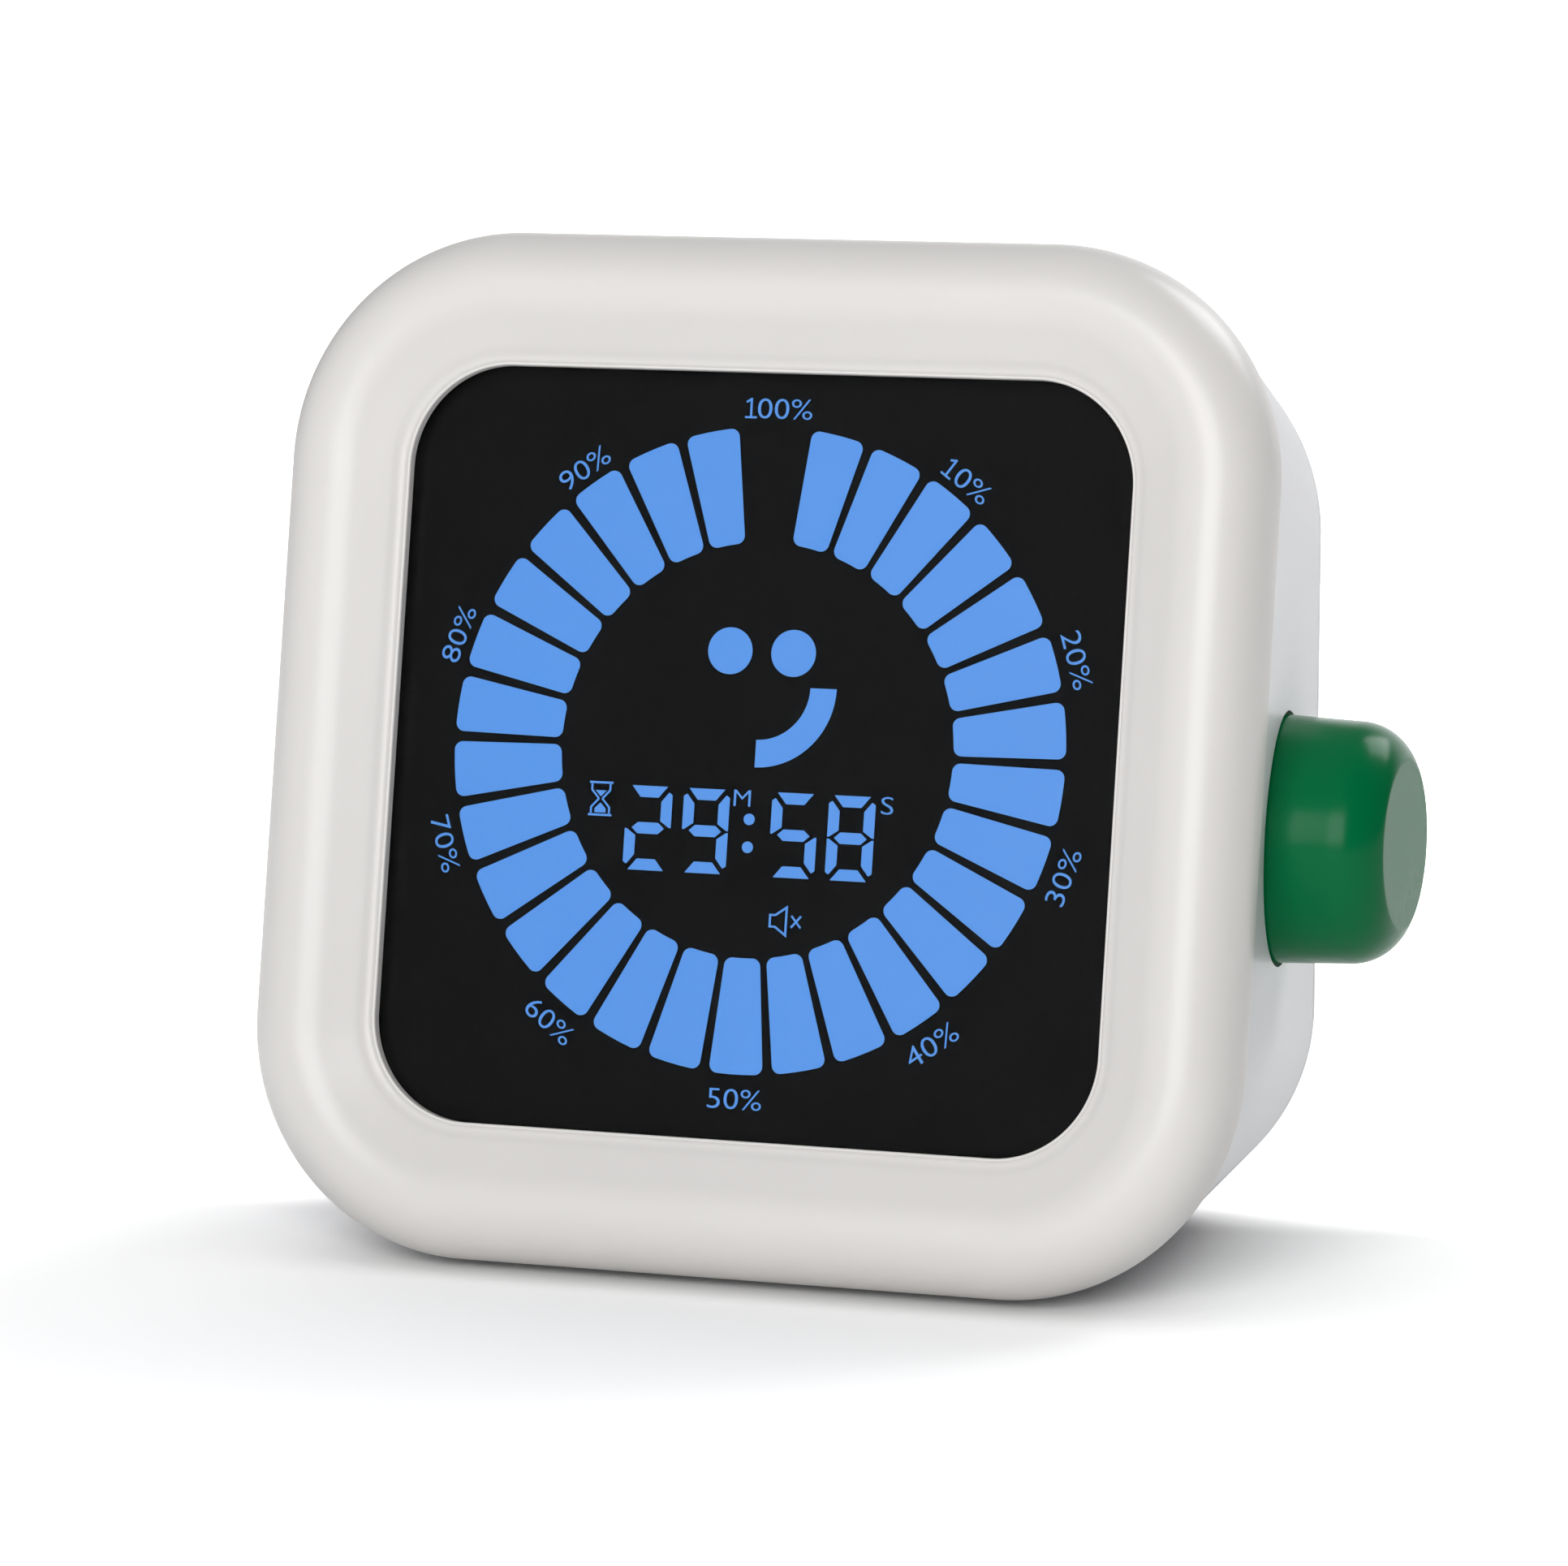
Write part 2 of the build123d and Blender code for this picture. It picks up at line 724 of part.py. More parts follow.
def backlight_tray():
    tray = slab(tray_size, tray_size, tray_corner, tray_front, tray_back)
    pocket = 2 * glass_pocket
    tray -= slab(pocket, pocket, glass_corner + fit_gap, tray_front, glass_back)
    lower = 2 * guide_pocket
    tray -= slab(lower, lower, tray_pocket_corner, glass_back, tray_inside)
    slot = pin_count * pin_pitch / 2 + pin_slot_gap
    low = (-slot, pin_row - pin_slot_gap, tray_back)
    tray -= block(low, (slot, pin_row + pin_slot_gap, tray_inside))
    ear_front = -frame_boss_end
    for side in (-1, 1):
        for rise in (-1, 1):
            x, y = side * tray_boss_x, rise * tray_boss_y
            reach = tray_boss + 0.1
            ear = rod_z(reach, x, y, ear_front, ear_front - ear_thick)
            inner = side * (tray_size / 2 - tray_wall / 2)
            low, high = min(inner, x), max(inner, x)
            ear += block((low, y - reach, ear_front - ear_thick), (high, y + reach, ear_front))
            tray += ear
            hole = small_shank + clear_gap
            tray -= rod_z(hole, x, y, ear_front, ear_front - ear_thick)
        for row in standoff_rows:
            x = side * standoff_x
            tray += rod_z(standoff_radius, x, row, tray_back, board_front)
            pilot = small_shank + small_pilot_gap
            tray -= rod_z(pilot, x, row, tray_inside - 0.5, board_front)
    return on_face(tray)


def main_board():
    height = board_high - board_low
    middle = (board_high + board_low) / 2
    board = slab(board_width, height, board_corner, board_front, board_back, y=middle)
    for side in (-1, 1):
        for row in standoff_rows:
            hole = small_shank + clear_gap
            board -= rod_z(hole, side * standoff_x, row, board_front, board_back)
    return on_face(board)


def on_board(centre, size, height):
    """Flat part on the main board's back: a block about a centre, standing off by its height."""
    low = (centre[0] - size[0] / 2, centre[1] - size[1] / 2, board_back - height)
    return block(low, (centre[0] + size[0] / 2, centre[1] + size[1] / 2, board_back))


def board_components():
    pieces = [
        on_board(chip_centre, (chip_size, chip_size), chip_height),
        on_board(crystal_centre, crystal_size, crystal_height),
    ]
    for row in capacitor_rows:
        pieces.append(rod_z(capacitor_radius, capacitor_x, row, board_back, board_back - capacitor_height))
    for number in range(small_part_count):
        centre = (small_part_first[0] + small_part_pitch * number, small_part_first[1])
        pieces.append(on_board(centre, small_part_size, small_part_height))
    return group([on_face(piece) for piece in pieces])


def board_sockets():
    """Ribbon sockets on the main board, the switch board and the encoder board."""
    rear = on_board((ribbon_rear_x, ribbon_rear_y), (rear_socket_length, socket_width), socket_depth)
    side = on_board((ribbon_side_x, ribbon_side_y), (socket_width, side_socket_length), socket_depth)
    half = rear_socket_length / 2
    board_y = switch_board_y - board_thick
    switch = block(
        (ribbon_rear_x - half, board_y - socket_depth, rear_socket_z - socket_width / 2),
        (ribbon_rear_x + half, board_y, rear_socket_z + socket_width / 2),
    )
    bend_level = ribbon_bend_level()
    across, deep = knob_socket_size
    knob_socket = block(
        (encoder_board_x - socket_depth, ribbon_side_y - across / 2, bend_level - deep / 2),
        (encoder_board_x, ribbon_side_y + across / 2, bend_level + deep / 2),
    )
    return group([on_face(rear), on_face(side), switch, on_face(knob_socket)])


def ribbon_bend_level():
    """Level of the side ribbon's second run in the face frame."""
    return board_back - socket_depth - ribbon_side_run


def ribbon(points, radius, width, across):
    """Flat cable along straight runs joined by arcs, its width along across."""
    path = FilletPolyline(*points, radius=radius)
    start = Plane(path @ 0, x_dir=across, z_dir=path % 0)
    return sweep(start * Rectangle(width, ribbon_thick), path=path)


def ribbon_cables():
    start = face.from_local_coords((ribbon_rear_x, ribbon_rear_y, board_back - socket_depth))
    knee = face.from_local_coords((ribbon_rear_x, ribbon_rear_y, board_back - socket_depth - ribbon_straight))
    end = Vector(ribbon_rear_x, switch_board_y - board_thick - socket_depth, rear_socket_z)
    turn = end - Vector(0, ribbon_straight, 0)
    rear = ribbon([start, knee, turn, end], ribbon_bend, rear_ribbon_width, (1, 0, 0))
    level = ribbon_bend_level()
    across = face.y_dir
    begin = face.from_local_coords((ribbon_side_x, ribbon_side_y, board_back - socket_depth))
    bend = face.from_local_coords((ribbon_side_x, ribbon_side_y, level))
    stop = face.from_local_coords((encoder_board_x - socket_depth, ribbon_side_y, level))
    side = ribbon([begin, bend, stop], ribbon_bend, side_ribbon_width, across)
    return group([rear, side])


# ================================================================ fasteners
def face_screws(places, seat_level, length):
    """Screws that go in from behind, towards the display, with their heads on seat_level."""
    one = screw(small_shank, small_head, small_head_thick, length)
    return group([on_face(Pos(x, y, seat_level) * Rot(180, 0, 0) * one) for x, y in places])


def corner_places(x, y):
    return [(sx * x, sy * y) for sx in (-1, 1) for sy in (-1, 1)]


def frame_screws():
    seat = -frame_boss_end - ear_thick
    return face_screws(corner_places(frame_boss_place, frame_boss_place), seat, frame_screw_length)


def tray_screws():
    seat = -frame_boss_end - ear_thick
    return face_screws(corner_places(tray_boss_x, tray_boss_y), seat, frame_screw_length)


def board_screws():
    places = [(side * standoff_x, row) for side in (-1, 1) for row in standoff_rows]
    return face_screws(places, board_back, board_thick + board_gap + 0.4)


def case_screws():
    seat = cover_inner_y - case_seat_depth
    one = Rot(-90, 0, 0) * screw(case_shank, case_head, case_head_thick, case_screw_length)
    return group([Pos(x, seat, z) * one for x, z in case_places])


# ================================================================ body
def diagonal_rib(x, z, reach, thick, y0, y1):
    """Flat web from a boss out towards the nearest corner of the body."""
    side = 1 if x > 0 else -1
    rise = 1 if z > back_middle else -1
    web = Pos(reach / 2, 0, 0) * Box(reach, y1 - y0, thick)
    turn = math.degrees(math.atan2(-rise, side))
    return Pos(x, (y0 + y1) / 2, z) * Rot(0, turn, 0) * web


def knob_cup():
    cup = rod_x(knob_base_radius + knob_ring_gap + pocket_wall, knob_y, knob_height,
                pocket_floor_x - pocket_floor, half_frame)
    return cup & body_form(0.6)


def encoder_bosses():
    posts = [
        rod_x(frame_boss, knob_y, knob_height + side * encoder_screw_reach, encoder_back_x, half_frame)
        for side in (-1, 1)
    ]
    return (posts[0] + posts[1]) & body_form(1.0)


def frame_ears():
    """Ears inside the body's front corners that the frame is screwed to."""
    ears = None
    for x, y in corner_places(frame_boss_place, frame_boss_place):
        front = -frame_boss_end
        ear = rod_z(frame_boss, x, y, front, front - ear_thick)
        turn = math.degrees(math.atan2(y, x))
        web = Pos(ear_reach / 2, 0, 0) * Box(ear_reach, 2 * frame_boss, ear_thick)
        ear += Pos(x, y, front - ear_thick / 2) * Rot(0, 0, turn) * web
        ear = on_face(ear) & body_form(1.0)
        ears = ear if ears is None else ears + ear
    return ears


def body_shell():
    hoop = body_form(0) - body_form(body_wall)
    hoop = between(hoop, -far, seam_y)
    hoop += frame_ears()
    hoop += knob_cup()
    hoop += encoder_bosses()
    boss_start = seam_y - case_boss_length
    for x, z in case_places:
        hoop += rod_y(case_boss, x, z, boss_start, seam_y)
        rib = diagonal_rib(x, z, rib_reach, rib_thick, boss_start, seam_y - cover_tongue_depth - rib_setback)
        hoop += rib & body_form(1.0)
    for x, z in case_places:
        hoop -= rod_y(case_shank + small_pilot_gap, x, z, boss_start + boss_floor, seam_y)
    hole = small_shank + clear_gap
    for x, y in corner_places(frame_boss_place, frame_boss_place):
        hoop -= on_face(rod_z(hole, x, y, -frame_boss_end, -frame_boss_end - ear_thick))
    hoop -= rod_x(knob_base_radius + knob_ring_gap, knob_y, knob_height, pocket_floor_x, far)
    bush_hole = bush_radius + bush_gap
    hoop -= rod_x(bush_hole, knob_y, knob_height, pocket_floor_x - 2 * pocket_floor, pocket_floor_x)
    pilot = small_shank + small_pilot_gap
    for side in (-1, 1):
        z = knob_height + side * encoder_screw_reach
        hoop -= rod_x(pilot, knob_y, z, encoder_back_x, encoder_back_x + encoder_screw_length + 1)
    recess = slab(pad_width + 2 * fit_gap, pad_length + 2 * fit_gap, pad_corner,
                  body_base + pad_recess, body_base - 1)
    hoop -= recess
    return hoop


def grille_places():
    """Centres of the loudspeaker's holes: one in the middle and rings round it."""
    places = [(speaker_x, speaker_z)]
    for ring in range(1, grille_rings + 1):
        holes = 6 * ring
        for number in range(holes):
            angle = 2 * math.pi * number / holes
            x = speaker_x + ring * grille_pitch * math.cos(angle)
            places.append((x, speaker_z + ring * grille_pitch * math.sin(angle)))
    return places


def back_cover():
    outer = body_form(0)
    outer = fillet(outer.faces().sort_by(Axis.Y)[-1].edges(), body_back_round)
    cavity = body_form(body_wall, body_wall)
    start = seam_y + cover_seam
    cover = between(outer - cavity, start, back_reach + 1)
    tongue_outer = body_wall + cover_tongue_gap
    tongue_inner = tongue_outer + cover_tongue_wall
    tongue = body_form(tongue_outer) - body_form(tongue_inner)
    cover += between(tongue, seam_y - cover_tongue_depth, start + 1.4)
    link = body_form(body_wall * 0.6) - body_form(tongue_inner)
    cover += between(link, start, start + 1.4)

    half = bay_length / 2
    wall = bay_wall
    bay = block((-half - wall, bay_front_y, bay_low - wall), (half + wall, cover_inner_y, bay_high + wall))
    cover += bay
    cover -= block((-half, bay_inner_y, bay_low), (half, back_reach + 1, bay_high))
    ledge = door_ledge + door_gap
    cover -= block((-half - ledge, door_y, bay_low - ledge), (half + ledge, back_reach + 1, bay_high + ledge))
    scoop_z = bay_high + ledge - 1.0
    scoop = rod_y(scoop_radius, 0, scoop_z, door_y + 0.3, back_reach + 1)
    cover -= scoop & block((-scoop_radius, 0, scoop_z), (scoop_radius, far, scoop_z + scoop_radius))

    for x, z in case_places:
        cover += rod_y(case_boss, x, z, seam_y, cover_inner_y)
    for x, z in case_places:
        cover -= rod_y(case_shank + clear_gap, x, z, seam_y, back_reach)
        cover -= rod_y(case_head + case_head_room, x, z, cover_inner_y - case_seat_depth, back_reach + 1)

    rim_start = cover_inner_y - speaker_rim_depth
    rim = rod_y(speaker_ring, speaker_x, speaker_z, rim_start, cover_inner_y)
    rim -= rod_y(speaker_radius + fit_gap, speaker_x, speaker_z, rim_start, cover_inner_y)
    cover += rim
    cover -= [rod_y(grille_hole, x, z, cover_inner_y - 1, back_reach + 1) for x, z in grille_places()]

    for x, z in switch_board_places():
        cover += rod_y(switch_post_radius, x, z, switch_board_y, cover_inner_y)
        cover -= rod_y(small_shank + small_pilot_gap, x, z, switch_board_y, cover_inner_y - 0.8)
    slot_x = slider_width / 2 + slider_travel / 2 + moving_gap
    slot_z = slider_height / 2 + moving_gap
    cover -= block(
        (slider_x - slot_x, cover_inner_y - 1, switch_z - slot_z),
        (slider_x + slot_x, back_reach + 1, switch_z + slot_z),
    )
    cover -= rod_y(button_radius + moving_gap, button_x, switch_z, cover_inner_y - 1, back_reach + 1)

    corner_z = back_middle - body_back_size / 2 + body_back_corner
    notch_z = corner_z - body_back_corner * math.sin(math.radians(notch_angle))
    notch = block(
        (case_x, start - 0.1, notch_z - notch_width / 2),
        (half_frame, start + notch_depth, notch_z + notch_width / 2),
    )
    return cover - (notch - body_form(body_wall * 0.5))


def base_pad():
    return slab(pad_width, pad_length, pad_corner, body_base + pad_recess, 0)


# ================================================================ knob and encoder
def knob_profile():
    """Half section of the knob: x along its axis from the rim, y its radius."""
    rim_x = pocket_floor_x + 2 * knob_travel
    length = knob_end_x - rim_x
    lean = math.tan(math.radians(knob_taper))
    drop = knob_base_radius - lean * (length - knob_round) - knob_end_radius
    swing = math.acos(1 - drop / knob_round)
    side_x = length - knob_round * math.sin(swing)
    side_r = knob_base_radius - lean * side_x
    end_r = side_r - knob_round * (1 - math.cos(swing))
    half = swing / 2
    middle = (side_x + knob_round * math.sin(half), side_r - knob_round * (1 - math.cos(half)))
    edges = [
        Line((0, 0), (0, knob_base_radius)),
        Line((0, knob_base_radius), (side_x, side_r)),
        ThreePointArc((side_x, side_r), middle, (length, end_r)),
        Line((length, end_r), (length, 0)),
        Line((length, 0), (0, 0)),
    ]
    return make_face(edges), rim_x


def d_section(radius, flat):
    """Round section with one flat, the flat towards +y."""
    return Circle(radius) & Pos(0, flat - radius) * Rectangle(4 * radius, 2 * radius)


def x_extrude(sketch, x0, x1):
    """Extrudes a sketch along X about the knob's axis; the sketch's y is the row's Z."""
    plane = Plane((x0, knob_y, knob_height), x_dir=(0, 1, 0), z_dir=(1, 0, 0))
    return extrude(plane * sketch, x1 - x0)


def knob():
    section, rim_x = knob_profile()
    solid = revolve(section, axis=Axis.X)
    solid = Pos(rim_x, knob_y, knob_height) * solid
    well = Circle(knob_base_radius - knob_wall - knob_well_skin) - Circle(knob_hub)
    solid -= x_extrude(well, rim_x, rim_x + knob_bore_depth)
    bore = d_section(shaft_radius + press_gap, shaft_flat + press_gap)
    solid -= x_extrude(bore, rim_x, rim_x + knob_bore_depth)
    return solid


def encoder_shaft():
    rim_x = pocket_floor_x + 2 * knob_travel
    tip_x = rim_x + knob_bore_depth - 0.1
    flat_start = rim_x - 0.2
    rotor_x = encoder_back_x + housing_floor + rotor_gap
    shaft = x_extrude(d_section(shaft_radius, shaft_flat), rotor_x + shaft_start, tip_x)
    round_start = rotor_x + rotor_thick + knob_travel + running_gap
    shaft += x_extrude(Circle(shaft_radius), round_start, flat_start)
    return shaft


def encoder_rotor():
    rotor_x = encoder_back_x + housing_floor + rotor_gap
    gap = running_gap
    ring = Circle(rotor_radius) - d_section(shaft_radius + gap, shaft_flat + gap)
    return x_extrude(ring, rotor_x, rotor_x + rotor_thick)


def encoder_housing():
    half = encoder_size / 2
    body = block(
        (encoder_back_x, knob_y - half, knob_height - half),
        (encoder_face_x, knob_y + half, knob_height + half),
    )
    body += rod_x(bush_radius, knob_y, knob_height, encoder_face_x, pocket_floor_x)
    chamber_x = encoder_back_x + housing_floor
    chamber_end = chamber_x + rotor_thick + 4 * rotor_gap
    body -= rod_x(rotor_radius + rotor_gap, knob_y, knob_height, chamber_x, chamber_end)
    body -= rod_x(shaft_radius + running_gap, knob_y, knob_height, chamber_end, pocket_floor_x)
    return body


def encoder_board():
    half = encoder_board_width / 2
    board = block(
        (encoder_board_x, knob_y - half, knob_height - encoder_board_down),
        (encoder_back_x, knob_y + half, knob_height + encoder_board_up),
    )
    for side in (-1, 1):
        z = knob_height + side * encoder_screw_reach
        board -= rod_x(small_shank + clear_gap, knob_y, z, encoder_board_x, encoder_back_x)
    return board


def encoder_pins():
    """Pins from the housing's sides down over the board."""
    pins = []
    edge = encoder_size / 2
    half = encoder_pin_width / 2
    for step, rise in ((-1, -1), (0, -1), (1, -1), (-1, 1), (1, 1)):
        y = knob_y + step * encoder_pin_pitch
        near = knob_height + rise * edge
        tip = near + rise * encoder_pin_thick
        low, high = min(near, tip), max(near, tip)
        top_x = encoder_back_x + encoder_pin_length
        pins.append(block((encoder_back_x, y - half, low), (top_x, y + half, high)))
    return group(pins)


def encoder_screws():
    one = Rot(0, -90, 0) * screw(small_shank, small_head, small_head_thick, encoder_screw_length)
    places = [knob_height + side * encoder_screw_reach for side in (-1, 1)]
    return group([Pos(encoder_board_x, knob_y, z) * one for z in places])


# ================================================================ power
def cell_sign(number):
    """+1 where the cell's nub points to +X, and -1 where it points to -X."""
    return 1 if number % 2 else -1


def aaa_cell(number):
    plus_x = bay_length / 2 - plate_thick
    can = Pos(plus_x - cell_nub - (cell_length - cell_nub) / 2, 0, 0) * Rot(0, 90, 0) * Cylinder(
        cell_radius, cell_length - cell_nub
    )
    can = fillet(can.edges(), cell_edge_round)
    nub = Pos(plus_x - cell_nub / 2, 0, 0) * Rot(0, 90, 0) * Cylinder(cell_nub_radius, cell_nub)
    turn = 0 if cell_sign(number) > 0 else 180
    return Pos(0, cell_y, cell_low + number * cell_pitch) * Rot(0, 0, turn) * (can + nub)


def contact_springs():
    gap = spring_gap
    space = bay_length - 2 * plate_thick - cell_length
    height = space - 2 * (spring_wire + gap)
    helix = Helix(pitch=height / spring_turns, height=height, radius=spring_radius)
    start = Plane(helix @ 0, z_dir=helix % 0)
    coil = sweep(start * Circle(spring_wire), path=helix, is_frenet=True)
    springs = []
    for number in range(cell_count):
        z = cell_low + number * cell_pitch
        wall_x = bay_length / 2 - plate_thick - spring_wire - gap
        if cell_sign(number) > 0:
            springs.append(Pos(-wall_x, cell_y, z) * Rot(0, 90, 0) * coil)
        else:
            springs.append(Pos(wall_x, cell_y, z) * Rot(0, -90, 0) * coil)
    return group(springs)


def contact_plates():
    """Stamped plates at the bay's ends: two single ones and two that join neighbouring cells."""
    plates = []
    half = plate_size / 2
    rows = {-1: ((0, 1), (2, 2)), 1: ((0, 0), (1, 2))}
    for side, spans in rows.items():
        outer = side * bay_length / 2
        inner = outer - side * plate_thick
        low_x, high_x = min(outer, inner), max(outer, inner)
        for first, last in spans:
            low_z = cell_low + first * cell_pitch - half
            high_z = cell_low + last * cell_pitch + half
            plates.append(block((low_x, cell_y - half, low_z), (high_x, cell_y + half, high_z)))
    return group(plates)


def battery_leads():
    """Two insulated leads from the bay's top to the switch board."""
    y = switch_board_y - board_thick - lead_radius
    top = switch_board_low + 2.5
    low = bay_high + bay_wall + lead_radius
    left_x = switch_board_left + 2.0
    straight_lead = Pos(left_x, y, (low + top) / 2) * Cylinder(lead_radius, top - low)
    right_x = switch_board_right - 6.5
    points = [(bay_length / 2 - 1, y, low), (right_x, y, low), (right_x, y, top)]
    path = FilletPolyline(*points, radius=1.6)
    start = Plane(path @ 0, z_dir=path % 0)
    return group([straight_lead, sweep(start * Circle(lead_radius), path=path)])


def battery_door():
    half = bay_length / 2 + door_ledge
    low, high = bay_low - door_ledge, bay_high + door_ledge
    door = block((-half, door_y, low), (half, back_reach, high))
    peg_low = bay_low + 0.3
    for side in (-1, 1):
        x = side * half * door_peg_reach
        left, right = x - door_peg_width / 2, x + door_peg_width / 2
        door += block((left, door_y - door_peg, peg_low), (right, door_y, peg_low + door_peg_thick))
        left, right = side * latch_half - latch_slit / 2, side * latch_half + latch_slit / 2
        door -= block((left, door_y - 1, high - latch_length), (right, back_reach + 1, high + 1))
    for step in range(groove_count):
        door -= thumb_groove(high - groove_first - groove_pitch * step)
    return door


def thumb_groove(z):
    """Groove across the door's latch tongue."""
    half = groove_width / 2
    low = (-half, back_reach - groove_depth, z - groove_thick / 2)
    return block(low, (half, back_reach + 1, z + groove_thick / 2))


# ================================================================ sound and switches
def speaker_basket():
    front = cover_inner_y - speaker_setback
    back = front - speaker_depth
    basket = rod_y(speaker_radius, speaker_x, speaker_z, back, front)
    basket -= rod_y(speaker_radius - speaker_wall, speaker_x, speaker_z, front - basket_depth, front)
    basket += rod_y(magnet_radius, speaker_x, speaker_z, back - magnet_depth, back)
    lug_low = (speaker_x - speaker_radius - lug_reach, back - lug_thick, speaker_z - lug_half)
    lug_high = (speaker_x - speaker_radius + 2, back, speaker_z + lug_half)
    return basket + block(lug_low, lug_high)


def speaker_cone():
    front = cover_inner_y - speaker_setback
    outer = speaker_radius - speaker_wall - 0.05
    profile = [(outer, -0.3), (outer, -0.6), (outer - 2, -0.6), (2.2, -2.1), (0, -2.1)]
    profile += [(0, -1.8), (2.2, -1.8), (outer - 2, -0.3)]
    section = make_face(Polyline(*profile, close=True))
    cone = revolve(section, axis=Axis.Y)
    return Pos(speaker_x, front, speaker_z) * cone


def speaker_leads():
    lug_x = speaker_x - speaker_radius - lug_reach / 2
    y = cover_inner_y - speaker_setback - speaker_depth - lug_thick - speaker_lead_radius
    leads = []
    for side in (-1, 1):
        z = speaker_z + side * lug_lead_rise
        leads.append(rod_x(speaker_lead_radius, y, z, switch_board_right, lug_x))
    return group(leads)


def switch_board_places():
    low = (switch_board_right - switch_post_inset, switch_board_low + switch_post_inset)
    high = (switch_board_left + switch_post_inset, switch_board_high - switch_post_inset)
    return [low, high]


def switch_board():
    board = block(
        (switch_board_left, switch_board_y - board_thick, switch_board_low),
        (switch_board_right, switch_board_y, switch_board_high),
    )
    for x, z in switch_board_places():
        board -= rod_y(small_shank + clear_gap, x, z, switch_board_y - board_thick, switch_board_y)
    return board


def switch_board_screws():
    one = Rot(90, 0, 0) * screw(small_shank, small_head, small_head_thick, switch_screw_length)
    return group([Pos(x, switch_board_y - board_thick, z) * one for x, z in switch_board_places()])


def volume_switch():
    top = cover_inner_y - slide_body_top
    half_length, half_width = slide_body_size[0] / 2, slide_body_size[1] / 2
    body = block(
        (slider_x - half_length, switch_board_y, switch_z - half_width),
        (slider_x + half_length, top, switch_z + half_width),
    )
    half_x = (slider_stem + slider_travel) / 2 + moving_gap
    half_z = slider_stem / 2 + moving_gap
    slot = block(
        (slider_x - half_x, top - stem_depth - 0.2, switch_z - half_z),
        (slider_x + half_x, top, switch_z + half_z),
    )
    return body - slot


def volume_slider():
    x = slider_x - slider_travel / 2
    low = cover_inner_y - slide_body_top + 0.1
    cap = block(
        (x - slider_width / 2, low, switch_z - slider_height / 2),
        (x + slider_width / 2, back_reach + slider_proud, switch_z + slider_height / 2),
    )
    cap = fillet(cap.edges().group_by(Axis.Y)[-1], slider_round)
    half = slider_stem / 2
    cap += block((x - half, low - stem_depth, switch_z - half), (x + half, low, switch_z + half))
    for step in (-1, 0, 1):
        groove_x = x + slider_groove_pitch * step
        side = slider_groove_width / 2
        top = back_reach + slider_proud
        cap -= block(
            (groove_x - side, top - slider_groove_depth, switch_z - slider_height),
            (groove_x + side, top + 1, switch_z + slider_height),
        )
    return cap


def tact_switch():
    top = cover_inner_y - tact_body_top
    half = tact_body_size / 2
    body = block((button_x - half, switch_board_y, switch_z - half), (button_x + half, top, switch_z + half))
    well = tact_stem_low + button_travel + moving_gap
    return body - rod_y(tact_stem_radius + moving_gap, button_x, switch_z, top - well, top)


def tact_stem():
    top = cover_inner_y - tact_body_top
    return rod_y(tact_stem_radius, button_x, switch_z, top - tact_stem_low, top + tact_stem_high)


def brightness_button():
    stem_top = cover_inner_y - tact_body_top + tact_stem_high
    flange_top = cover_inner_y - button_flange_gap
    flange = rod_y(button_radius + button_flange, button_x, switch_z, stem_top, flange_top)
    cap = rod_y(button_radius, button_x, switch_z, stem_top, back_reach + button_proud)
    cap = fillet(cap.edges().group_by(Axis.Y)[-1], button_round)
    return cap + flange


# ================================================================ writing
def all_nodes():
    nodes = {
        "front_frame": front_frame,
        "lens_adhesive": lens_adhesive,
        "window_lens": window_lens,
        "display_segments": display_segments,
        "lcd_glass": lcd_glass,
        "lcd_polarisers": lcd_polarisers,
        "diffuser_sheet": lambda: guide_plate(diffuser_front, diffuser_thick),
        "light_guide": lambda: guide_plate(guide_front, guide_thick),
        "reflector_film": lambda: guide_plate(reflector_front, reflector_thick),
        "lcd_pins": lcd_pins,
        "backlight_leds": backlight_leds,
        "backlight_tray": backlight_tray,
        "main_board": main_board,
        "board_components": board_components,
        "board_sockets": board_sockets,
        "ribbon_cables": ribbon_cables,
        "frame_screws": frame_screws,
        "tray_screws": tray_screws,
        "board_screws": board_screws,
        "case_screws": case_screws,
        "body_shell": body_shell,
        "back_cover": back_cover,
        "base_pad": base_pad,
        "knob": knob,
        "encoder_shaft": encoder_shaft,
        "encoder_rotor": encoder_rotor,
        "encoder_housing": encoder_housing,
        "encoder_board": encoder_board,
        "encoder_pins": encoder_pins,
        "encoder_screws": encoder_screws,
        "contact_springs": contact_springs,
        "contact_plates": contact_plates,
        "battery_leads": battery_leads,
        "battery_door": battery_door,
        "speaker_basket": speaker_basket,
        "speaker_cone": speaker_cone,
        "speaker_leads": speaker_leads,
        "switch_board": switch_board,
        "switch_board_screws": switch_board_screws,
        "volume_switch": volume_switch,
        "volume_slider": volume_slider,
        "tact_switch": tact_switch,
        "tact_stem": tact_stem,
        "brightness_button": brightness_button,
    }
    for number in range(cell_count):
        nodes[f"aaa_cell_{number + 1}"] = lambda n=number: aaa_cell(n)
    return nodes


def main():
    os.makedirs("parts", exist_ok=True)
    for name, make in all_nodes().items():
        export_step(make(), os.path.join("parts", name + ".step"))


main()
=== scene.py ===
import json
import math

import bmesh
import bpy
import numpy as np
from mathutils import Matrix, Vector


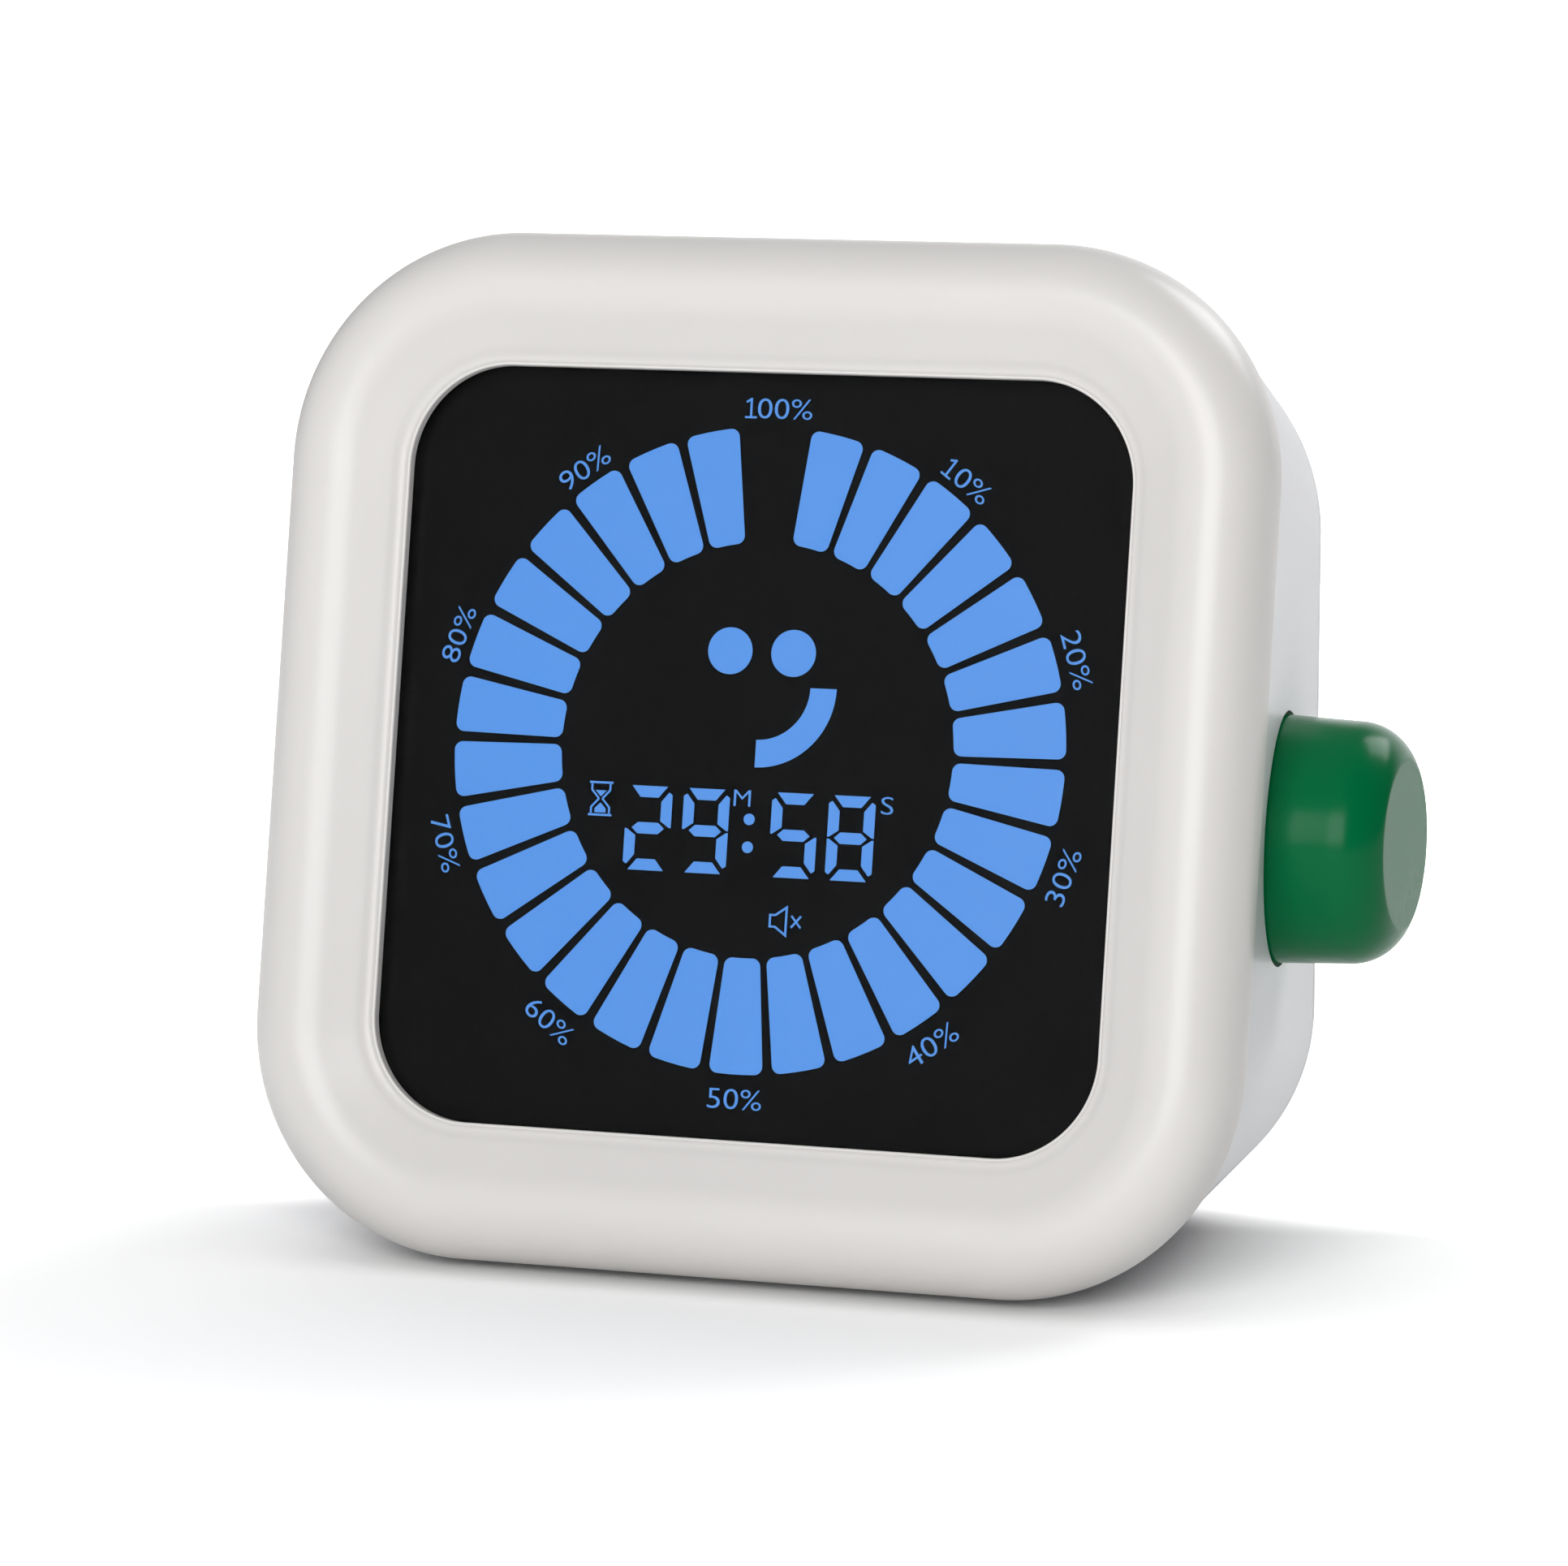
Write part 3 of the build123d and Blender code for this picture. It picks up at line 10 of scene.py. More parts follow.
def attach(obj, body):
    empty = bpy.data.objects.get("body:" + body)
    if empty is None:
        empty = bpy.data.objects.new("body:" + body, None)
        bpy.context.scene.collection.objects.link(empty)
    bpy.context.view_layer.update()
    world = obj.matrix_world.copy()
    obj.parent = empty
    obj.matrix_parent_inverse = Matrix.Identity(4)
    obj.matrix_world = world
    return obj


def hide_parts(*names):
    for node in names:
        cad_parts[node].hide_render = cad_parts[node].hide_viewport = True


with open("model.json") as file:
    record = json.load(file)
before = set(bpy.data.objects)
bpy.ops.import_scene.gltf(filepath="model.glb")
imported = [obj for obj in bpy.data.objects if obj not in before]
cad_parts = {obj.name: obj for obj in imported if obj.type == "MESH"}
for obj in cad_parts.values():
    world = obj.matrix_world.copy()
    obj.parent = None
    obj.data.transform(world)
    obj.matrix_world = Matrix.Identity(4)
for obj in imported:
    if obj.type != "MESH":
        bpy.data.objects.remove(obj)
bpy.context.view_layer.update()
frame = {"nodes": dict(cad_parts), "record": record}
scene = bpy.context.scene
mm = 0.001

# ---------------------------------------------------------------- sizes shared with the solids, mm
face_tilt = math.radians(10.6)
frame_foot = 1.16            # the frame's lower edge above the table
solid_half = 44.8            # half the solid frame's side
window_height = frame_foot + solid_half * math.cos(face_tilt)
window_reach = 18.4          # from the body's middle forwards to the window's middle
frame_half = 44.795          # a hair inside the solid's
frame_corner = 20.4
window_half = 32.9
window_corner = 9.0
window_blend = 7.7           # from this inset inwards the frame's corners turn into the window's
crest_inset = 5.0
crest_height = 2.895
crest_depth = 6.0
crest_radius = 5.85
dish_angle = math.radians(27.5)
frame_back = 4.7
back_edge_radius = 1.0
lip_rise = 0.02              # the window's edge above the line of the dish
bead_radius = 0.17           # fine bead round the window, and the soft hollow beside it
bead_hollow = 1.5
bead_depth = 0.08
lens_seat = -0.9             # level where the window's lip ends
display_front = -2.6         # level of the display's front, which the lit shapes stand on
segment_thick = 0.08
knob_height = window_height - 7.6
knob_start = 41.0
knob_end = 53.2
knob_radius = 10.75
knob_end_radius = 7.3
knob_shoulder = 4.6          # radius of its rounding
knob_taper = math.radians(2.4)
knob_steps = 128

# ---------------------------------------------------------------- signs on the display, mm
ring_rise = 0.58             # the ring's middle above the window's
label_radius = 29.68
label_middle = np.array([0.05, -0.28])   # the labels' circle sits a little lower than the bars'
label_height = 1.74
label_wide = 1.21
label_weight = -0.01
label_stroke = 0.17          # a leading 1 is drawn with strokes of this width
one_serif = 0.52             # half of its foot
one_edge = 0.08              # its foot and its flag's tip lie this far inside the label's height
one_flag = (0.45, 0.36)      # how far its flag reaches out and down
one_before_two = -1.79       # its stem, from the middle of a label of two digits, and of three
one_before_three = -2.41
rest_shift = 0.68            # the other signs of such a label, moved on to make room
letter_weight = -0.012
minute_sign = ("M", 1.4, (-0.95, -4.17), 1.16)   # sign, height, place and widening
second_sign = ("S", 1.5, (12.22, -4.2), 1.35)
hourglass_place = (-13.95, -4.82)
hourglass_half = 0.84
hourglass_cap = 0.19         # width of the lines of its end plates, and of its glass
hourglass_line = 0.15
speaker_place = (2.98, -14.52)
speaker_line = 0.17
cross_line = 0.16

# ---------------------------------------------------------------- patterns, mm
track_spacing = 6.0          # between the circuit boards' tracks
track_lift = 0.03
jacket_band = 8.0            # a cell's film turns from dark to copper here, measured along X
jacket_band_soft = 0.3
glow_drift = 25.0            # size of the patches in which the display's light drifts

# ---------------------------------------------------------------- levels of the studio, 1 is white
room_level = 0.3
flag_level = 0.04            # a black flag darkens the room on the knob's side
backdrop_level = 1.5
floor_shade_reach = 60.0     # how far from the paper the object still darkens it with painted shade, mm
floor_painted_shade = 0.42            # the paper's whiteness: darkest right under the object, as painted shade, and lifted out in the open
floor_lift = 1.52
glow_heading = (-0.213, 0.977, 0)   # the paper behind the object glows white, this way
glow_start = 4.5             # from here on, mm
glow_full = 17.0             # to here, at full strength
far_start = 0.12             # and so does all of it far away, from here on, m
far_full = 0.8
softbox_front = ((0.36, -2.5, 0.98), 1.8, 1.4, 49.0)   # place, width and height in m, power in W
softbox_rim = ((0.89, 1.58, 1.57), 1.0, 1.2, 21.5)

# ---------------------------------------------------------------- camera, mm and degrees
camera_azimuth = 19.96
camera_elevation = 7.89
camera_target = (0, -16.6, 45.46)
camera_aside = 2.53          # how far it stands off the line through its target: right, down and back
camera_down = 2.846
camera_back = 591.37
camera_lens = 158.39
camera_sensor = 36.0

# the face frame: x across, y up the tilted face, z out of it
face_origin = np.array([0.0, -window_reach, window_height])
face_axes = np.array(
    [
        [1.0, 0.0, 0.0],
        [0.0, math.sin(face_tilt), math.cos(face_tilt)],
        [0.0, -math.cos(face_tilt), math.sin(face_tilt)],
    ]
)


def from_face(points):
    """Face-frame points in mm to the object's own frame: origin plus x, y and z along the face's axes."""
    return face_origin + points @ face_axes


# ================================================================ mesh helpers
def outward(points, faces):
    """The faces, turned round if the volume they enclose, summed over fans from the origin, is negative."""
    corners = np.array([(f[0], f[k], f[k + 1]) for f in faces for k in range(1, len(f) - 1)])
    a, b, c = points[corners[:, 0]], points[corners[:, 1]], points[corners[:, 2]]
    volume = np.einsum("ij,ij->i", a, np.cross(b, c)).sum()
    return [tuple(f)[::-1] for f in faces] if volume < 0 else [tuple(f) for f in faces]


def mesh_piece(name, parts, smooth=35):
    """One object at the origin from closed parts, each its points in mm and its faces; smooth in degrees."""
    points, faces, start = [], [], 0
    for part_points, part_faces in parts:
        centred = part_points - part_points.mean(axis=0)
        faces += [tuple(start + k for k in f) for f in outward(centred, part_faces)]
        points.append(part_points)
        start += len(part_points)
    mesh = bpy.data.meshes.new(name)
    mesh.from_pydata((np.concatenate(points) * mm).tolist(), [], faces)
    mesh.polygons.foreach_set("use_smooth", np.ones(len(mesh.polygons), dtype=bool))
    mesh.set_sharp_from_angle(angle=math.radians(smooth))
    piece = bpy.data.objects.new(name, mesh)
    scene.collection.objects.link(piece)
    return piece


def loop_grid_faces(rows, columns, closed_rows):
    """Quads of a grid whose columns close on themselves; rows close too if asked."""
    row = np.arange(rows if closed_rows else rows - 1)[:, None]
    column = np.arange(columns)[None, :]
    a = row * columns + column
    b = row * columns + (column + 1) % columns
    next_row = ((row + 1) % rows) * columns
    c = next_row + (column + 1) % columns
    d = next_row + column
    return np.stack([a, b, c, d], axis=-1).reshape(-1, 4).tolist()


def ring_points(half, corner, steps):
    """Rounded squares: each corner is an arc about (half - corner) from the middle, the sides join them."""
    turn = np.linspace(0, math.pi / 2, steps)
    angle = np.concatenate([turn + quarter * math.pi / 2 for quarter in range(4)])
    sign_x = np.repeat([1, -1, -1, 1], steps)
    sign_y = np.repeat([1, 1, -1, -1], steps)
    half = np.asarray(half, dtype=float)[..., None]
    corner = np.asarray(corner, dtype=float)[..., None]
    x = sign_x * (half - corner) + corner * np.cos(angle)
    y = sign_y * (half - corner) + corner * np.sin(angle)
    return x, y


def arc(centre, radius_x, radius_y, start, end, steps):
    """Points of an elliptical arc, angles in degrees."""
    angle = np.radians(np.linspace(start, end, steps))
    return np.stack([centre[0] + radius_x * np.cos(angle), centre[1] + radius_y * np.sin(angle)], axis=1)


# ================================================================ materials
mix_low, mix_high, mix_result = 6, 7, 2      # a Mix node's colour sockets, which share their names


def linear(code):
    """An sRGB hex colour as a linear RGBA value."""
    parts = np.array([int(code[i : i + 2], 16) for i in (1, 3, 5)]) / 255
    low = parts / 12.92
    high = ((parts + 0.055) / 1.055) ** 2.4
    return (*np.where(parts <= 0.04045, low, high).tolist(), 1.0)


def add_node(tree, kind, settings=None, inputs=None):
    """Adds one shader node: settings are its properties, inputs map a socket to a value or a socket."""
    made = tree.nodes.new(kind)
    for name, value in (settings or {}).items():
        setattr(made, name, value)
    for name, value in (inputs or {}).items():
        if isinstance(value, bpy.types.NodeSocket):
            tree.links.new(value, made.inputs[name])
        else:
            made.inputs[name].default_value = value
    return made


def new_material(name):
    """An empty node material with its output, and Object coordinates to read patterns from."""
    material = bpy.data.materials.new(name)
    material.use_nodes = True
    tree = material.node_tree
    tree.nodes.clear()
    output = add_node(tree, "ShaderNodeOutputMaterial")
    place = add_node(tree, "ShaderNodeTexCoord")
    return material, tree, output, place.outputs["Object"]


def moulded(name, light, dark, roughness, swing, grain, depth, cloud=14.0, **shader):
    """Plastics, rubbers and metals: two near colours in soft clouds, a fine surface grain and its gloss.

    light and dark are the hex colours the clouds run between, grain and cloud are sizes in mm,
    depth is the grain's height in mm, and swing is how far the roughness wanders.
    """
    material, tree, output, place = new_material(name)
    clouds = add_node(
        tree, "ShaderNodeTexNoise", None,
        {"Vector": place, "Scale": 1000 / cloud, "Detail": 3.0, "Roughness": 0.55},
    )
    fine = add_node(
        tree, "ShaderNodeTexNoise", None,
        {"Vector": place, "Scale": 1000 / grain, "Detail": 2.0, "Roughness": 0.5},
    )
    colour = add_node(
        tree, "ShaderNodeMix", {"data_type": "RGBA"},
        {"Factor": clouds.outputs["Fac"], mix_low: linear(dark), mix_high: linear(light)},
    )
    gloss = add_node(
        tree, "ShaderNodeMapRange", None,
        {"Value": clouds.outputs["Fac"], "From Min": 0.3, "From Max": 0.7,
         "To Min": roughness - swing, "To Max": roughness + swing},
    )
    bump = add_node(
        tree, "ShaderNodeBump", None,
        {"Height": fine.outputs["Fac"], "Distance": depth * mm, "Strength": 1.0},
    )
    surface = add_node(
        tree, "ShaderNodeBsdfPrincipled", None,
        {"Base Color": colour.outputs[mix_result], "Roughness": gloss.outputs["Result"],
         "Normal": bump.outputs["Normal"]},
    )
    for socket, value in shader.items():
        surface.inputs[socket.replace("_", " ")].default_value = value
    tree.links.new(surface.outputs["BSDF"], output.inputs["Surface"])
    return material


def make_materials():
    """One material for each of the record's slots."""
    made = {}
    # gloss ABS from a polished mould: a clean warm white with a faint orange-peel ripple in its highlights
    made["white_gloss"] = moulded(
        "abs_white_gloss_moulded", "#ECE9E6", "#E8E5E2", 0.33, 0.02, 1.6, 0.004, IOR=1.5,
        Specular_IOR_Level=0.4)
    # ABS from a finely blasted mould under clear lacquer: a cooler white that brightens at flat angles
    made["white_satin"] = moulded(
        "abs_white_lacquered", "#EEEEF1", "#EBEBEE", 0.42, 0.03, 0.5, 0.006, IOR=1.5,
        Coat_Weight=0.2, Coat_Roughness=0.12)
    # green ABS, polished mould: saturated colour under small clear highlights
    made["green_plastic"] = moulded(
        "abs_green_gloss_moulded", "#006D3E", "#006639", 0.22, 0.02, 1.6, 0.003, IOR=1.5,
        Specular_IOR_Level=0.11)
    # PMMA sheet with an anti-reflective coat: the display shows clearly under a faint even sheen
    made["smoked_acrylic"] = moulded(
        "pmma_antireflective_coated", "#F0F0F0", "#EEEEEE", 0.03, 0.01, 3.0, 0.0004, IOR=1.49,
        Transmission_Weight=1.0, Specular_Tint=linear("#707070"))
    # foam tape: dull black
    made["black_tape"] = moulded("foam_tape_black", "#131313", "#0F0F0F", 0.8, 0.05, 0.3, 0.02)
    # lit display shapes: blue light, very slightly uneven from the light guide behind
    made["blue_display"] = lit_display()
    # float glass, polished: clear, seen only by its edges
    made["clear_glass"] = moulded(
        "soda_lime_glass_polished", "#F2F6F5", "#EDF3F2", 0.02, 0.005, 4.0, 0.0002, IOR=1.52,
        Transmission_Weight=1.0)
    # stretched polarising film: near black with a faint cool cast
    made["polariser_film"] = moulded(
        "polarising_film_laminated", "#0B0B0C", "#09090A", 0.5, 0.03, 2.0, 0.0005, IOR=1.5,
        Specular_IOR_Level=0.1)
    # PET film with a matt face: an even white without highlights
    made["white_film"] = moulded("pet_film_white_matt", "#F0F0EE", "#ECECEA", 0.6, 0.04, 0.2, 0.004)
    # PMMA, cut and polished: clear with a slight milkiness
    made["clear_acrylic"] = moulded(
        "pmma_clear_polished", "#F2F5F7", "#EEF2F5", 0.05, 0.01, 3.0, 0.0004, IOR=1.49,
        Transmission_Weight=0.9)
    # copper dipped in tin: warm grey metal, a little uneven
    made["tinned_wire"] = moulded(
        "copper_tinned", "#CFCFC8", "#B9B9B0", 0.3, 0.05, 0.3, 0.004, Metallic=1.0)
    # epoxy cast over a phosphor: creamy white, glossy
    made["led_white"] = moulded("led_epoxy_moulded", "#F4F2E2", "#EEEBD6", 0.3, 0.03, 0.4, 0.003, IOR=1.5)
    # fibreglass laminate under green solder mask: semi-gloss with copper tracks that show as lighter lines
    made["circuit_board"] = solder_mask()
    # epoxy moulding compound: near black and dull, with a fine dusty grain
    made["black_resin"] = moulded(
        "epoxy_black_moulded", "#1C1D1F", "#151618", 0.55, 0.05, 0.25, 0.008, IOR=1.55)
    # nylon, moulded: warm cream with a soft gloss
    made["cream_nylon"] = moulded(
        "nylon_cream_moulded", "#E4DAC2", "#DDD2B8", 0.5, 0.04, 0.4, 0.006, IOR=1.53)
    # PVC, extruded round the wires: mid grey with a soft gloss
    made["grey_pvc"] = moulded("pvc_grey_extruded", "#8E8F93", "#828387", 0.5, 0.05, 0.6, 0.006, IOR=1.53)
    # zinc-plated steel: bright grey with a slight cloudiness from the plating bath
    made["zinc_steel"] = moulded(
        "steel_zinc_plated", "#C9CBD0", "#AFB1B8", 0.3, 0.06, 0.2, 0.003, cloud=3.0, Metallic=1.0)
    # silicone rubber, compression moulded: soft matt grey with almost no highlight
    made["grey_silicone"] = moulded(
        "silicone_grey_moulded", "#7C7F82", "#737679", 0.62, 0.04, 0.4, 0.012, IOR=1.41)
    # zinc, die-cast: dull grey metal, cloudy from its flow in the die
    made["cast_zinc"] = moulded(
        "zinc_die_cast", "#A9ABAF", "#96989C", 0.42, 0.06, 0.6, 0.012, cloud=4.0, Metallic=1.0)
    # nickel-plated steel: bright metal with a warm cast
    made["nickel_steel"] = moulded(
        "steel_nickel_plated", "#D6D2C8", "#C2BEB2", 0.24, 0.05, 0.3, 0.003, cloud=3.0, Metallic=1.0)
    # pressed steel, sprayed black: satin paint
    made["speaker_steel"] = moulded(
        "steel_black_painted", "#2B2C2E", "#242527", 0.45, 0.05, 0.5, 0.01, IOR=1.5)
    # paper pulp, pressed: black fibres without gloss
    made["speaker_paper"] = moulded("paper_pulp_pressed", "#26262A", "#1B1B1E", 0.9, 0.04, 0.4, 0.05)
    # ABS from a finely blasted mould: dark grey with a satin sheen
    made["dark_grey_plastic"] = moulded(
        "abs_dark_grey_satin_moulded", "#3E4043", "#37393C", 0.45, 0.04, 0.4, 0.008, IOR=1.54)
    # printed film shrunk round a cell: glossy, dark and copper
    made["cell_jacket"] = cell_jacket()
    return made


def lit_display():
    """Blue segments: a gloss film that gives off its own light, its brightness drifting by a few percent."""
    material, tree, output, place = new_material("lcd_segment_backlit")
    drift = add_node(
        tree, "ShaderNodeTexNoise", None, {"Vector": place, "Scale": 1000 / glow_drift, "Detail": 1.0})
    colour = add_node(
        tree, "ShaderNodeMix", {"data_type": "RGBA"},
        {"Factor": drift.outputs["Fac"], mix_low: linear("#5799EE"), mix_high: linear("#599EF5")},
    )
    surface = add_node(
        tree, "ShaderNodeBsdfPrincipled", None,
        {"Base Color": linear("#1A2C46"), "Roughness": 0.4,
         "Emission Color": colour.outputs[mix_result], "Emission Strength": 1.0},
    )
    tree.links.new(surface.outputs["BSDF"], output.inputs["Surface"])
    return material


def solder_mask():
    """Green solder mask: a brick grid of tracks lightens the green and lifts it by a few hundredths."""
    material, tree, output, place = new_material("fibreglass_board_solder_masked")
    tracks = add_node(
        tree, "ShaderNodeTexBrick", {"offset": 0.37, "squash": 1.0},
        {"Vector": place, "Scale": 1000 / track_spacing, "Mortar Size": 0.04, "Mortar Smooth": 0.1,
         "Color1": linear("#0F5A2E"), "Color2": linear("#0D5229"), "Mortar": linear("#1F7A44")},
    )
    bump = add_node(
        tree, "ShaderNodeBump", None, {"Height": tracks.outputs["Fac"], "Distance": track_lift * mm})
    surface = add_node(
        tree, "ShaderNodeBsdfPrincipled", None,
        {"Base Color": tracks.outputs["Color"], "Roughness": 0.35, "IOR": 1.5,
         "Normal": bump.outputs["Normal"]},
    )
    tree.links.new(surface.outputs["BSDF"], output.inputs["Surface"])
    return material


def cell_jacket():
    """Printed film round a cell: dark for two thirds of its length along X and copper for the rest."""
    material, tree, output, place = new_material("battery_film_printed")
    split = add_node(tree, "ShaderNodeSeparateXYZ", None, {"Vector": place})
    band = add_node(
        tree, "ShaderNodeMapRange", None,
        {"Value": split.outputs["X"],
         "From Min": jacket_band * mm, "From Max": (jacket_band + jacket_band_soft) * mm})
    colour = add_node(
        tree, "ShaderNodeMix", {"data_type": "RGBA"},
        {"Factor": band.outputs["Result"], mix_low: linear("#23262C"), mix_high: linear("#B5793E")},
    )
    surface = add_node(
        tree, "ShaderNodeBsdfPrincipled", None,
        {"Base Color": colour.outputs[mix_result], "Roughness": 0.3, "Metallic": 0.6},
    )
    tree.links.new(surface.outputs["BSDF"], output.inputs["Surface"])
    return material


# ================================================================ front frame
def frame_profile():
    """Closed section of the frame as (inset from its side, level): rounding, roll, dish, lip and back."""
    side_level = crest_height - crest_depth
    outer = arc((crest_inset, side_level), crest_inset, crest_depth, 180, 90, 22)
    centre = (crest_inset, crest_height - crest_radius)
    roll = arc(centre, crest_radius, crest_radius, 90, 90 - math.degrees(dish_angle), 10)[1:]
    lip_inset = frame_half - window_half
    roll_end = roll[-1]

    def dish(inset):
        return roll_end[1] - (inset - roll_end[0]) * math.tan(dish_angle)

    flat_insets = np.linspace(roll_end[0], lip_inset - bead_hollow, 8)[1:]
    flat = np.stack([flat_insets, dish(flat_insets)], axis=1)
    edge_level = dish(lip_inset) + lip_rise
    low = np.linspace(0, 1, 8)[1:-1]
    hollow_insets = lip_inset - bead_hollow + low * (bead_hollow - bead_radius)
    sag = bead_depth * np.sin(math.pi * low) ** 2
    hollow = np.stack([hollow_insets, dish(hollow_insets) - sag], axis=1)
    bead = arc((lip_inset - bead_radius, edge_level - bead_radius), bead_radius, bead_radius, 108, 0, 9)
    # the lens's ledge and the cored channel behind the crest, out to the tongue that enters the shell
    inner = np.array([[lip_inset, lens_seat], [lip_inset - 1.4, lens_seat], [lip_inset - 2.9, -2.6]])
    behind = np.array([[7.5, -0.6], [4.6, -0.2], [4.2, -3.0], [4.2, -6.4], [3.05, -6.4], [3.05, -frame_back]])
    back_centre = (back_edge_radius, back_edge_radius - frame_back)
    back = arc(back_centre, back_edge_radius, back_edge_radius, 270, 180, 8)
    return np.concatenate([outer, roll, flat, hollow, bead, inner, behind, back])


def front_frame():
    """The section above carried round the rounded square; inner rings take the window's own corner."""
    section = frame_profile()
    inset = section[:, 0]
    level = section[:, 1]
    lip_inset = frame_half - window_half
    blend = np.clip((inset - window_blend) / (lip_inset - window_blend), 0, 1)
    extra = window_corner - (frame_corner - lip_inset)
    corner = frame_corner - inset + extra * blend * blend * (3 - 2 * blend)
    x, y = ring_points(frame_half - inset, corner, 40)
    z = np.broadcast_to(level[:, None], x.shape)
    points = from_face(np.stack([x, y, z], axis=-1).reshape(-1, 3))
    faces = loop_grid_faces(len(section), x.shape[1], True)
    return mesh_piece("front_frame_shell", [(points, faces)])


# ================================================================ knob
def knob_profile():
    """Half section of the knob from the middle of its rim round its side to the middle of its end."""
    length = knob_end - knob_start
    lean = math.tan(knob_taper)
    drop = knob_radius - lean * (length - knob_shoulder) - knob_end_radius
    swing = math.acos(1 - drop / knob_shoulder)
    side_x = length - knob_shoulder * math.sin(swing)
    side_r = knob_radius - lean * side_x
    angle = np.linspace(0, swing, 22)
    shoulder_x = side_x + knob_shoulder * np.sin(angle)
    shoulder_r = side_r - knob_shoulder * (1 - np.cos(angle))
    shoulder = np.stack([shoulder_x, shoulder_r], axis=1)
    # rings close to the rim's rounding and to the end's edge keep the flats beside them flat in the light
    rim = np.array([[0.0, 4.0], [0.0, 8.2], [0.0, -0.25], [0.08, -0.08], [0.25, 0.0]])
    rim[2:, 1] += knob_radius
    side = np.linspace([0.6, knob_radius - lean * 0.6], [side_x, side_r], 6)[:-1]
    crease = shoulder[-1] - [[0.0, 0.12], [0.0, 0.5]]
    disc = np.array([[length, 4.0], [length, 1.5]])
    return np.concatenate([rim, side, shoulder, crease, disc])


def knob_piece():
    """The half section turned about the knob's axis, with one many-sided face closing each end."""
    section = knob_profile()
    turn = np.linspace(0, 2 * math.pi, knob_steps, endpoint=False)
    x = np.broadcast_to(section[:, :1] + knob_start, (len(section), knob_steps))
    y = section[:, 1:] * np.cos(turn)
    z = knob_height + section[:, 1:] * np.sin(turn)
    points = np.stack([x, y, z], axis=-1).reshape(-1, 3)
    faces = loop_grid_faces(len(section), knob_steps, False)
    last = (len(section) - 1) * knob_steps
    faces += [tuple(range(knob_steps)), tuple(range(last, last + knob_steps))[::-1]]
    return mesh_piece("knob_cap", [(points, faces)], 25)


# ================================================================ display artwork
def on_display(flat, low=display_front, high=display_front + segment_thick):
    """Flat points of the display at two levels: the face frame's x and y raised by the ring's own rise."""
    shifted = flat + [0.0, ring_rise]
    bottom = np.column_stack([shifted, np.full(len(flat), low)])
    top = np.column_stack([shifted, np.full(len(flat), high)])
    return from_face(np.concatenate([bottom, top]))


def plate(outline):
    """A thin prism: the outline at two levels, joined by quads."""
    outline = np.asarray(outline, dtype=float)
    count = len(outline)
    sides = [(k, (k + 1) % count, count + (k + 1) % count, count + k) for k in range(count)]
    caps = [tuple(range(count))[::-1], tuple(range(count, 2 * count))]
    return on_display(outline), sides + caps


def line(points, width, closed=False):
    """A thin bar along a path: each point is moved half the width to both sides along its mitre."""
    points = np.asarray(points, dtype=float)
    if closed:
        before, after = np.roll(points, 1, axis=0), np.roll(points, -1, axis=0)
    else:
        before = np.vstack([2 * points[0] - points[1], points[:-1]])
        after = np.vstack([points[1:], 2 * points[-1] - points[-2]])
    first = (points - before) / np.linalg.norm(points - before, axis=1, keepdims=True)
    second = (after - points) / np.linalg.norm(after - points, axis=1, keepdims=True)
    normal = np.stack([-first[:, 1] - second[:, 1], first[:, 0] + second[:, 0]], axis=1)
    normal /= np.linalg.norm(normal, axis=1, keepdims=True)
    lean = normal[:, 1] * first[:, 0] - normal[:, 0] * first[:, 1]
    reach = width / 2 / np.maximum(lean, 0.35)
    left = points + normal * reach[:, None]
    right = points - normal * reach[:, None]
    count = len(points)
    solid = on_display(np.concatenate([left, right]))
    order = np.stack([np.arange(count), np.arange(count) + count], axis=1)
    grid = np.concatenate([order, order[:, ::-1] + 2 * count], axis=1)
    rows = np.arange(count if closed else count - 1)
    faces = []
    for k in rows:
        here, there = grid[k], grid[(k + 1) % count]
        faces += [(here[e], here[(e + 1) % 4], there[(e + 1) % 4], there[e]) for e in range(4)]
    if not closed:
        faces += [tuple(grid[0][::-1]), tuple(grid[-1])]
    return solid, faces


def lettering(text, height, centre, turn=0.0, weight=0.0, wide=1.0):
    """Letters of the built-in face as thin solids: scaled to a height, widened, turned and set in place."""
    curve = bpy.data.curves.new("letters", "FONT")
    curve.body = text
    curve.extrude = 0.05
    curve.offset = weight
    curve.resolution_u = 4
    holder = bpy.data.objects.new("letters", curve)
    raw = bpy.data.meshes.new_from_object(holder)
    work = bmesh.new()
    work.from_mesh(raw)
    bmesh.ops.remove_doubles(work, verts=work.verts, dist=1e-4)
    bmesh.ops.recalc_face_normals(work, faces=work.faces)
    points = np.array([tuple(v.co) for v in work.verts])
    faces = [tuple(v.index for v in f.verts) for f in work.faces]
    work.free()
    bpy.data.objects.remove(holder)
    bpy.data.curves.remove(curve)
    bpy.data.meshes.remove(raw)
    flat = points[:, :2]
    low, high = flat.min(axis=0), flat.max(axis=0)
    flat = (flat - (low + high) / 2) * (height / (high[1] - low[1])) * [wide, 1.0]
    angle = math.radians(turn)
    spin = np.array([[math.cos(angle), math.sin(angle)], [-math.sin(angle), math.cos(angle)]])
    flat = flat @ spin + np.asarray(centre) + [0.0, ring_rise]
    level = display_front + np.where(points[:, 2] > 0, segment_thick, 0.0)
    return from_face(np.column_stack([flat, level])), faces


